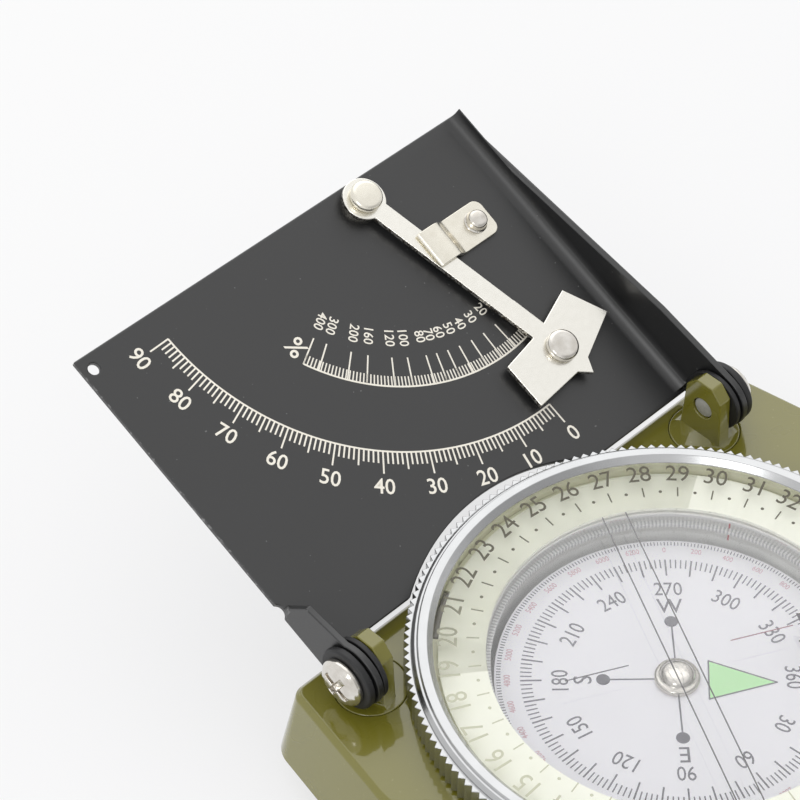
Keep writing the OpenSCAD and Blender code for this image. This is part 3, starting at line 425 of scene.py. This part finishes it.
def lettering(bm, words, place, height, squeeze=0.9, weight=0.0):
    """Printed characters, centred on place, with Y of place upwards."""
    font = bpy.data.curves.new("lettering", "FONT")
    font.body = words
    font.resolution_u = 3
    font.extrude = FONT_DEPTH
    font.offset = weight
    holder = bpy.data.objects.new("lettering", font)
    view.collection.objects.link(holder)
    bpy.context.view_layer.update()
    mesh = bpy.data.meshes.new_from_object(holder.evaluated_get(bpy.context.evaluated_depsgraph_get()))
    xs = [v.co.x for v in mesh.vertices]
    ys = [v.co.y for v in mesh.vertices]
    size = height / (max(ys) - min(ys))
    middle = Vector(((max(xs) + min(xs)) / 2, (max(ys) + min(ys)) / 2, 0))
    fit = Matrix.Diagonal((size * squeeze, size, INK_T / (2 * FONT_DEPTH), 1))
    mesh.transform(place @ fit @ Matrix.Translation(-middle))
    bm.from_mesh(mesh)
    bpy.data.objects.remove(holder)
    bpy.data.curves.remove(font)
    bpy.data.meshes.remove(mesh)


def on_circle(angle, radius, z):
    """A place on a circle about the dial axis, Y outwards."""
    return (Matrix.Translation((0, 0, z)) @ Matrix.Rotation(angle - math.pi / 2, 4, "Z")
            @ Matrix.Translation((0, radius, 0)))


def ink_finish(name, low, high, size=1.5 * MM):
    """A printing ink with slightly uneven cover."""
    material, shader, spot = new_finish(name, Roughness=0.5)
    paint(shader, colour=spot.grain(size, 2.0).tint(low, high))
    return material


card_ink = ink_finish("card_ink", linear(96, 94, 104), linear(120, 118, 126))
card_red = ink_finish("card_red", linear(196, 150, 160), linear(210, 168, 176))
card_green = ink_finish("card_green", linear(186, 241, 176), linear(196, 244, 186))
TOP = CARD_Z + INK_T
DEGREE_RING = 14.84
NUMBER_RING = 11.1
LETTER_RING = 8.95
DOT_RING = 7.0
SPOKE_RING = 4.5
MIL_RING = 16.9
MIL_NUMBER_RING = 16.1
MIL_MARKS = 320
MIL_HUNDREDS = 64
bm = bmesh.new()
for degree in range(0, 360, 2):
    angle = WEST - math.radians(degree)
    inner, width = (12.8, 0.17) if degree % 10 == 0 else (13.75, 0.13)
    place = on_circle(angle, (inner + DEGREE_RING) / 2 * MM, TOP)
    ink_bar(bm, place, (DEGREE_RING - inner) * MM, width * MM)
for number in range(30, 361, 30):
    angle = WEST - math.radians(number - 270)
    lettering(bm, str(number), on_circle(angle, NUMBER_RING * MM, TOP), 1.62 * MM, 0.82)
for letter, number in (("W", 270), ("S", 180), ("E", 90)):
    angle = WEST - math.radians(number - 270)
    lettering(bm, letter, on_circle(angle, LETTER_RING * MM, TOP), 1.75 * MM, 0.95)
    ink_ring(bm, 0.02 * MM, 0.66 * MM, on_circle(angle, DOT_RING * MM, TOP), steps=24)
    ink_bar(bm, on_circle(angle, SPOKE_RING * MM, TOP), 4.6 * MM, 0.16 * MM)
for mark in range(MIL_MARKS):
    ink_bar(bm, on_circle(mark * TURN / MIL_MARKS, MIL_RING * MM, TOP), 0.42 * MM, 0.1 * MM)
add_piece("card_print", bm, card_ink, "card")

bm = bmesh.new()
for number in range(0, MIL_HUNDREDS, 2):
    place = on_circle(WEST - number * TURN / MIL_HUNDREDS, MIL_NUMBER_RING * MM, TOP)
    lettering(bm, str(number * 100), place, 0.62 * MM, 0.8)
add_piece("card_outer_numbers", bm, card_red, "card")


def ink_triangle(corners):
    """A flat printed triangle between three places."""
    bm = bmesh.new()
    face = bm.faces.new([bm.verts.new(corner) for corner in corners])
    bmesh.ops.extrude_face_region(bm, geom=[face])
    for vert in list(bm.verts)[3:]:
        vert.co.z += INK_T
    bmesh.ops.recalc_face_normals(bm, faces=bm.faces)
    return bm


def arrow_corners(angle, z, base, half_width, tip):
    """The corners of an arrow that points outwards on the dial, from base to tip."""
    return [on_circle(angle, reach * MM, z) @ Vector((side * MM, 0, 0))
            for reach, side in ((base, -half_width), (base, half_width), (tip, 0))]


NORTH = math.radians(-47)
points = arrow_corners(NORTH, TOP, 3.0, 2.3, 9.45)
add_piece("north_arrow", ink_triangle(points), card_green, "card")
bm = bmesh.new()
for first, second in ((0, 1), (1, 2), (2, 0)):
    run = points[second] - points[first]
    middle = (points[first] + points[second]) / 2 + Vector((0, 0, INK_T))
    place = Matrix.Translation(middle) @ Matrix.Rotation(math.atan2(run.y, run.x) - math.pi / 2, 4, "Z")
    ink_bar(bm, place, run.length + 0.1 * MM, 0.14 * MM)
add_piece("north_arrow_edge", bm, card_ink, "card")

magnet_grey, magnet_shader, spot = new_finish("sintered_magnet", Metallic=0.6, Roughness=0.5)
paint(magnet_shader, colour=spot.grain(0.6 * MM, 4.0).tint((0.10, 0.10, 0.105), (0.2, 0.2, 0.2)),
      relief=spot.grain(0.2 * MM), depth=0.01 * MM)
dress("card_magnet", magnet_grey)
dress("pivot_needle", plated)

nickel, nickel_shader, spot = new_finish("nickel_plate", Metallic=1.0)
brushed = spot.grain(0.9 * MM, 3.0, 0.6)
paint(nickel_shader, colour=brushed.tint((0.76, 0.72, 0.62), (0.88, 0.85, 0.76)),
      roughness=0.18 + brushed * 0.16, relief=spot.grain(0.18 * MM, 2.0), depth=0.003 * MM)

CAP_Z = 10.12
dome = [(0, 0.55), (0.9, 0.3), (1.1, 0), (2.18, 0), (2.2, 0.3), (2.12, 0.48), (1.9, 0.56), (1.72, 0.6),
        (1.62, 0.72), (1.5, 0.95), (1.2, 1.12), (0.8, 1.22), (0.4, 1.27), (0, 1.28)]
cap = add_piece("jewel_dome", turned([(r, CAP_Z + z) for r, z in dome]), plated, "card", 50)
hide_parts("jewel_cap")


# Bezel: a ring of bright turned aluminium with a straight knurl, running on the collar on three grub
# screws and a small friction spring. Its glass and the cream ring below it turn with it.
aluminium, ring_shader, spot = new_finish("bright_aluminium", Metallic=1.0, Roughness=0.2)
reach, bearing = around(spot)
turning = spot.add("ShaderNodeCombineXYZ", {}, {0: reach, 1: spot.axis(2), 2: 0.0})
lines = turning.grain(0.12 * MM, 2.0)
stain = spot.grain(3 * MM, 2.0)
# Inside the bore, below the glass top, the ring is drawn as a light cream non-metal; outside the bore and
# above the glass it is bare metal.
bare = reach.above(23.5 * MM, 0.04 * MM).maths("MAXIMUM", spot.axis(2).above(14.99 * MM, 0.03 * MM))
cream_bore = 1 - bare
metal = stain.tint((0.46, 0.465, 0.47), (0.53, 0.535, 0.54))
paint(ring_shader, colour=cream_bore.over(metal, linear(234, 233, 208)), Metallic=bare,
      roughness=0.16 + lines * 0.16 + cream_bore * 0.4, relief=lines, depth=0.004 * MM)
bezel = add_piece("knurled_bezel", joined("bezel_ring"), aluminium, "bezel", 28)
soften(bezel, 0.07 * MM, 2, 28.0)
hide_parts("bezel_ring")
dress("bezel_grub_screws", plated)
spring_steel, spring_shader, spot = new_finish("spring_steel", Metallic=0.4, Roughness=0.5)
paint(spring_shader, colour=spot.grain(0.8 * MM, 2.0).tint(linear(116, 112, 104), linear(134, 130, 121)))
dress("bezel_spring", spring_steel)

luminous, glow_shader, spot = new_finish("luminous_cream", Roughness=0.6)
paint(glow_shader, colour=spot.grain(4 * MM, 3.0).tint(linear(243, 244, 229), linear(247, 248, 237)))
underlay = plain_disc("luminous_ring", ring=True)
glow_ring = add_piece("dial_underlay", underlay, luminous, "bezel")
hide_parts("luminous_ring")
bezel_clear = glass_finish("bezel_clear", 0.3)
dial_glass = add_piece("dial_glass", plain_disc("bezel_glass"), bezel_clear, "bezel")
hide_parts("bezel_glass")


# Dial print: numbers for every ten degrees, with a line at each and a dot between, printed on the
# glass. Two hairlines and the index marks are on its underside.
GLASS_TOP = 15.0 * MM
GLASS_UNDER = 13.98 * MM
dial_ink, ink_shader, spot = new_finish("dial_ink", Roughness=0.5)
# Painted glare: the print is painted paler towards the near left, standing in for the glare and blur on
# that side; towards the far side it keeps its own dark tone.
painted_glare = (spot.axis(0) * 0.6 + spot.axis(1) * 0.8).above(4 * MM, 18 * MM)
glared_ink = painted_glare.tint(linear(192, 192, 170), linear(84, 80, 64))
paint(ink_shader, colour=glared_ink)
DIAL_29 = math.radians(42.68)


def dial_angle(number):
    """Bearing of a dial number, counted clockwise in tens of degrees."""
    return DIAL_29 - math.radians(10 * (number - 29))


DIAL_NUMBER_RING = 21.85
DIAL_MARK_RING = 19.4
bm = bmesh.new()
for number in range(36):
    angle = dial_angle(number)
    between = dial_angle(number + 0.5)
    lettering(bm, str(number), on_circle(angle, DIAL_NUMBER_RING * MM, GLASS_TOP), 2.0 * MM, 0.86)
    ink_bar(bm, on_circle(angle, DIAL_MARK_RING * MM, GLASS_TOP + INK_T), 1.2 * MM, 0.14 * MM)
    ink_ring(bm, 0.02 * MM, 0.17 * MM, on_circle(between, DIAL_MARK_RING * MM, GLASS_TOP), steps=12)
add_piece("dial_print", bm, dial_ink, "bezel")

line_ink = ink_finish("line_ink", linear(84, 82, 84), linear(110, 108, 110))
WINDOW_REACH = 18.1
SHORT_LINE_RING = 8.25
SHORT_LINE = 6.3
bm = bmesh.new()
for side in (-1.2, 1.2):
    span = 2 * math.sqrt(WINDOW_REACH ** 2 - side ** 2) * MM
    place = on_circle(dial_angle(27), 0, GLASS_UNDER) @ Matrix.Translation((side * MM, 0, 0))
    ink_bar(bm, place, span, 0.13 * MM)
ink_bar(bm, on_circle(dial_angle(18), SHORT_LINE_RING * MM, GLASS_UNDER), SHORT_LINE * MM, 0.12 * MM)
add_piece("glass_hairlines", bm, line_ink, "bezel")
bm = bmesh.new()
ink_bar(bm, on_circle(dial_angle(0), SHORT_LINE_RING * MM, GLASS_UNDER), SHORT_LINE * MM, 0.12 * MM)
red_hair = ink_finish("red_hair", linear(150, 112, 118), linear(166, 128, 132))
add_piece("glass_north_line", bm, red_hair, "bezel")
index = ink_triangle(arrow_corners(dial_angle(0), GLASS_UNDER, 12.2, 1.3, 15.4))
add_piece("glass_index", index, line_ink, "bezel")


# Lid: one bent steel sheet in satin black paint, with a hinge ear on the left and a long flange with
# the other ear on the right. The left edge shows small chips, and the flange's bend is round inside.
LID_ANGLE = math.radians(153.1)
HINGE = Vector((1.55, 18.9, 15.1)) * MM
LID_LIFT = 3.25 * MM
LID_PLACE = (Matrix.Translation(HINGE) @ Matrix.Rotation(-LID_ANGLE, 4, "X")
             @ Matrix.Translation((0, 0, LID_LIFT)) @ Matrix.Rotation(math.pi, 4, "X"))
black, black_shader, spot = new_finish("satin_black", Specular_IOR_Level=0.85)
peel = spot.grain(0.35 * MM, 2.0)
cloud = spot.grain(14 * MM, 2.0)
dust = spot.grain(0.30 * MM, 0.0).above(0.875, 0.02)
sideways = spot.add("ShaderNodeTexCoord", {}, {}, out=1).axis(0)
left_side = (1 - spot.axis(0).above(-20 * MM, 0.1 * MM)) * spot.axis(1).above(27.5 * MM, 0.5 * MM)
left_edge = (1 - sideways.above(-0.4, 0.2)) * left_side
chip = spot.grain(0.5 * MM, 3.0).above(0.60, 0.08) * left_edge
tone = cloud.tint((0.0085, 0.0087, 0.0092), (0.0105, 0.0107, 0.0112))
paint(black_shader, colour=chip.over(dust.over(tone, (0.10, 0.10, 0.10)), (0.12, 0.12, 0.12)),
      roughness=0.36 + cloud * 0.08, relief=peel, depth=0.006 * MM)
lid = add_piece("lid_sheet", joined("lid"), black, "lid_assembly")
soften(lid, 0.14 * MM, 2, 30.0, outward=True)
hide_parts("lid")

BEND = 1.6
BEND_STEPS = 16
FLANGE_FACE = -0.35
INTO_SHEET = -0.2
FLANGE_U = 25.45
FLANGE_TOE = math.radians(1.5)
BEND_START, BEND_LENGTH = 3.4, 36.2
flange = LID_PLACE @ Matrix.Translation((FLANGE_U * MM, 0, 0)) @ Matrix.Rotation(FLANGE_TOE, 4, "Z")
bm = bmesh.new()
turns = [step * math.pi / 2 / BEND_STEPS for step in range(BEND_STEPS + 1)]
profile = [(FLANGE_FACE - BEND * (1 - math.sin(turn)), BEND * (1 - math.cos(turn))) for turn in turns]
profile += [(INTO_SHEET, BEND), (INTO_SHEET, INTO_SHEET), (FLANGE_FACE - BEND, INTO_SHEET)]
face = bm.faces.new([bm.verts.new(flange @ (Vector((u, BEND_START, h)) * MM)) for u, h in profile])
run = bmesh.ops.extrude_face_region(bm, geom=[face])
far = flange.to_3x3() @ Vector((0, BEND_LENGTH * MM, 0))
bmesh.ops.translate(bm, vec=far, verts=[v for v in run["geom"] if isinstance(v, bmesh.types.BMVert)])
bmesh.ops.recalc_face_normals(bm, faces=bm.faces)
add_piece("lid_bend", bm, black, "lid_assembly", 60)


# Clinometer scale: cream print on the lid. The outer arc counts degrees and the inner one percent;
# both are read at the pendulum.
cream = ink_finish("cream_print", linear(232, 226, 213), linear(244, 240, 229), 0.8 * MM)
PRINT = LID_PLACE @ Matrix.Translation((0, 0, 0.004 * MM))


def on_scale(centre, reading, radius):
    """A place on the lid at that angle in degrees from the hinge side, Y towards the centre."""
    u, w = centre
    return (PRINT @ Matrix.Translation((u * MM, w * MM, 0))
            @ Matrix.Rotation(-math.radians(reading), 4, "Z") @ Matrix.Translation((0, -radius * MM, 0)))


bm = bmesh.new()
DEGREES = (10.28, 37.5)
ROLL = -1.85
DEGREE_ARC = 27.75
DEGREE_NUMBERS = 31.42
for degree in range(91):
    outer = 30.12 if degree % 10 == 0 else 29.55 if degree % 5 == 0 else 29.05
    place = on_scale(DEGREES, degree + ROLL, (DEGREE_ARC + outer) / 2)
    ink_bar(bm, place, (outer - DEGREE_ARC) * MM, 0.17 * MM)
    if degree % 10 == 0:
        place = on_scale(DEGREES, degree + ROLL, DEGREE_NUMBERS)
        lettering(bm, str(degree), place, 1.62 * MM, 0.98, 0.008)
arc_inner, arc_outer = (DEGREE_ARC - 0.07) * MM, (DEGREE_ARC + 0.11) * MM
ink_ring(bm, arc_inner, arc_outer, on_scale(DEGREES, ROLL, 0), -math.pi / 2, -math.pi / 2, 90)
PERCENTS = (10.83, 37.61)
PERCENT_ROLL = -15.42
PERCENT_ARC = 21.25
PERCENT_NUMBERS = 16.1
ARC_START = -11
marks = (10, 20, 30, 40, 50, 60, 70, 80, 100, 120, 160, 200, 300, 400)
for percent in marks:
    slope = math.degrees(math.atan(percent / 100)) + PERCENT_ROLL
    ink_bar(bm, on_scale(PERCENTS, slope, PERCENT_ARC - 1.53), 3.1 * MM, 0.15 * MM)
    place = on_scale(PERCENTS, slope, PERCENT_NUMBERS) @ Matrix.Rotation(-math.pi / 2, 4, "Z")
    lettering(bm, str(percent), place, 1.0 * MM, 0.95, 0.008)
end = math.degrees(math.atan(marks[-1] / 100)) + PERCENT_ROLL
for step in range(72):
    ink_bar(bm, on_scale(PERCENTS, end - step, PERCENT_ARC - 0.53), 1.1 * MM, 0.13 * MM)
arc_inner, arc_outer = (PERCENT_ARC - 0.09) * MM, (PERCENT_ARC + 0.09) * MM
sweep = -math.radians(end - ARC_START)
ink_ring(bm, arc_inner, arc_outer, on_scale(PERCENTS, ARC_START, 0), -math.pi / 2, sweep, 80)
place = on_scale(PERCENTS, end + 3.6, 20.0) @ Matrix.Rotation(-0.5, 4, "Z")
lettering(bm, "%", place, 2.1 * MM, 0.95, 0.008)
add_piece("clinometer_print", bm, cream, "lid_assembly")


# Clinometer pendulum: a punched arm with its weight, a second plate riveted behind it, hung on a
# rivet at the far edge of the lid and parked under a spring clip. All are nickel-plated steel.
punched, punch_shader, spot = new_finish("punched_nickel", Metallic=1.0)
brushed = spot.grain(0.7 * MM, 3.0, 0.6)
upright = Vector((0, math.cos(LID_ANGLE + math.pi / 2), math.sin(LID_ANGLE - math.pi / 2)))
facing = spot.add("ShaderNodeVectorMath", {"operation": "DOT_PRODUCT"},
                  {0: spot.add("ShaderNodeTexCoord", {}, {}, out=1), 1: upright}, out=1)
edge_face = 1 - facing.maths("ABSOLUTE").above(0.5, 0.3)
burr = spot.grain(0.28 * MM, 2.0).above(0.52, 0.1) * edge_face
punched_tone = brushed.tint((0.86, 0.84, 0.77), (0.93, 0.91, 0.85))
paint(punch_shader, colour=burr.over(punched_tone, (0.16, 0.13, 0.10)),
      roughness=0.16 + brushed * 0.12,
      relief=spot.grain(0.15 * MM, 2.0) * (0.3 + edge_face), depth=0.02 * MM)
for node, edge in (("pendulum_arm", 0.09), ("pendulum_back_plate", 0.07)):
    sheet = add_piece(node.replace("pendulum", "clinometer"), joined(node), punched, "pendulum")
    soften(sheet, edge * MM)
    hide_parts(node)


def on_lid(bm, u, w):
    """Moves a piece from the rest plane to a place on the lid's inner face."""
    place = LID_PLACE @ Matrix.Translation((u * MM, w * MM, 0))
    bmesh.ops.transform(bm, matrix=place, verts=bm.verts)
    return bm


def rivet(shank, foot, seat, head, top):
    """A riveted stud: shank from foot to seat, then a head with a soft edge and a flat top."""
    return turned([
        (0, foot), (shank, foot), (shank, seat), (head - 0.12, seat + 0.03), (head - 0.03, seat + 0.12),
        (head, top - 0.42), (head - 0.05, top - 0.24), (head - 0.17, top - 0.1), (head - 0.34, top - 0.02),
        (head - 0.5, top), (0, top)], 72)


PIVOT = (8.8, 37.25)
PARKED = math.radians(16.1)
ARM_LENGTH = 24.65
WEIGHT_PIN = (PIVOT[0] + ARM_LENGTH * math.sin(PARKED), PIVOT[1] - ARM_LENGTH * math.cos(PARKED))
stud = on_lid(rivet(0.84, 0.3, 1.38, 1.7, 2.37), *WEIGHT_PIN)
weight_pin = add_piece("weight_stud", stud, plated, "pendulum", 50)
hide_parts("weight_rivet")
stud = on_lid(rivet(0.88, -0.7, 1.42, 1.7, 2.4), *PIVOT)
pivot_pin = add_piece("pivot_stud", stud, nickel, "lid_assembly", 50)
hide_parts("pivot_rivet")
dress("pendulum_spacer", nickel)

CLIP_RIGHT, CLIP_LOW, CLIP_HIGH = 19.69, 27.05, 31.15
SHEET = 0.45
low, high = SHEET / 2, 1.5 + SHEET / 2
route = [(CLIP_RIGHT, low), (17, low), (15.2, low), (14.7, low + 0.04), (14.3, low + 0.2),
         (13.9, low + 0.55), (13.55, high - 0.5), (13.2, high - 0.16), (12.8, high - 0.03), (12.3, high),
         (11.1, high), (10.92, high - 0.03), (10.8, high - 0.12), (10.74, high - 0.26)]
bm = bmesh.new()
line = [bm.verts.new((u * MM, CLIP_LOW * MM, h * MM)) for u, h in route]
edges = [bm.edges.new(pair) for pair in zip(line, line[1:])]
swept = bmesh.ops.extrude_edge_only(bm, edges=edges)
raised = [v for v in swept["geom"] if isinstance(v, bmesh.types.BMVert)]
bmesh.ops.translate(bm, vec=(0, (CLIP_HIGH - CLIP_LOW) * MM, 0), verts=raised)
ends = [v for v in bm.verts if v.co.x > (CLIP_RIGHT - 0.01) * MM]
bmesh.ops.bevel(bm, geom=ends, offset=1.0 * MM, offset_type="OFFSET", segments=7, profile=0.5,
                affect="VERTICES", material=-1)
bmesh.ops.recalc_face_normals(bm, faces=bm.faces)
clip = add_piece("arm_clip", on_lid(bm, 0, 0), nickel, "lid_assembly", 40)
wall = clip.modifiers.new("sheet", "SOLIDIFY")
wall.thickness = SHEET * MM
wall.offset = 0
soften(clip, 0.09 * MM, 3, 40.0)
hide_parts("parking_clip")
CLIP_PIN = (17.75, 29.1)
stud = on_lid(turned([
    (0, -0.7), (0.52, -0.7), (0.52, 0.45), (1.2, 0.46), (1.24, 0.52), (1.08, 0.66), (1.03, 0.85),
    (1.03, 1.18), (0.98, 1.34), (0.86, 1.44), (0.66, 1.5), (0, 1.52)], 64), *CLIP_PIN)
clip_pin = add_piece("clip_stud", stud, plated, "lid_assembly", 50)
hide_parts("clip_rivet")


# Lid hinge: a pan-head screw on each side turns into the lug, and clamps the ear between two rubber
# washers, whose grip holds the lid at any angle. The screws' ends show in the lugs' bores.
rubber, rubber_shader, spot = new_finish("black_rubber", Roughness=0.55)
bloom = spot.grain(0.8 * MM, 3.0)
paint(rubber_shader, colour=bloom.tint((0.008, 0.008, 0.009), (0.018, 0.018, 0.019)),
      roughness=0.42 + bloom * 0.2, relief=spot.grain(0.2 * MM, 2.0), depth=0.008 * MM)
for side in ("left", "right"):
    for layer in ("inner", "outer"):
        washer = f"{layer}_washer_{side}"
        ring = add_piece(f"{layer}_gasket_{side}", joined(washer), rubber, "base")
        soften(ring, (0.12 if layer == "inner" else 0.28) * MM, 4)
        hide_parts(washer)
    screw = add_piece("pan_screw_" + side, joined("hinge_screw_" + side), plated, "base")
    soften(screw, 0.1 * MM)
    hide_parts("hinge_screw_" + side)
dull, dull_shader, spot = new_finish("dull_steel", Metallic=0.3, Roughness=0.4)
paint(dull_shader, colour=spot.grain(0.4 * MM, 2.0).tint(linear(150, 150, 144), linear(192, 191, 184)))
for side, facing, innermost in (("left", 1, max), ("right", -1, min)):
    tip_x = innermost(vert.co.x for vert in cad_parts["hinge_screw_" + side].data.vertices)
    bm = turned([(0, 0), (1.08, 0), (1.08, 0.02), (0.8, 0.14), (0, 0.14)], 48)
    place = Matrix.Translation((tip_x, HINGE.y, HINGE.z)) @ Matrix.Rotation(facing * math.pi / 2, 4, "Y")
    bmesh.ops.transform(bm, matrix=place, verts=bm.verts)
    add_piece("screw_tip_" + side, bm, dull, "base", 25)


# Eyepiece: an enamelled bracket that folds flat on the deck about a plain pin in a forked stand. A
# black barrel slides in it for focus and holds the lens between a lip and a retaining ring.
stand = add_piece("fork_stand", joined("eyepiece_stand"), enamel, "base")
soften(stand, 0.25 * MM, 3, outward=True)
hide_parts("eyepiece_stand")
bracket = add_piece("eyepiece_arm", joined("eyepiece_bracket"), enamel, "eyepiece")
soften(bracket, 0.3 * MM, 3, outward=True)
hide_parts("eyepiece_bracket")
dress("eyepiece_pin", plated)
barrel = add_piece("focus_tube", joined("lens_barrel"), black, "focus_barrel")
soften(barrel, 0.15 * MM)
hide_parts("lens_barrel")
retainer = add_piece("lens_ring", joined("lens_retainer"), black, "focus_barrel")
soften(retainer, 0.1 * MM)
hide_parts("lens_retainer")
dress("eyepiece_lens", clear_glass)


# Thumb ring: plated wire bent into a ring through the eye of an enamelled post, which is screwed
# into the front wall.
post = add_piece("ring_lug", joined("ring_post"), enamel, "base")
soften(post, 0.3 * MM, 3, outward=True)
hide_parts("ring_post")
wire = add_piece("finger_loop", joined("thumb_ring"), plated, "finger_ring", 60)
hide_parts("thumb_ring")


# Bubble level: a vial of tinted spirit in a bright cup, let into the deck beside the eyepiece.
saucer = add_piece("level_saucer", joined("level_cup"), aluminium, "base")
soften(saucer, 0.12 * MM)
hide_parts("level_cup")
spirit, spirit_shader, spot = new_finish("tinted_spirit", Roughness=0.05, Transmission_Weight=0.6, IOR=1.4)
paint(spirit_shader, colour=spot.grain(2 * MM).tint((0.55, 0.78, 0.18), (0.62, 0.84, 0.24)))
dress("level_vial", spirit)
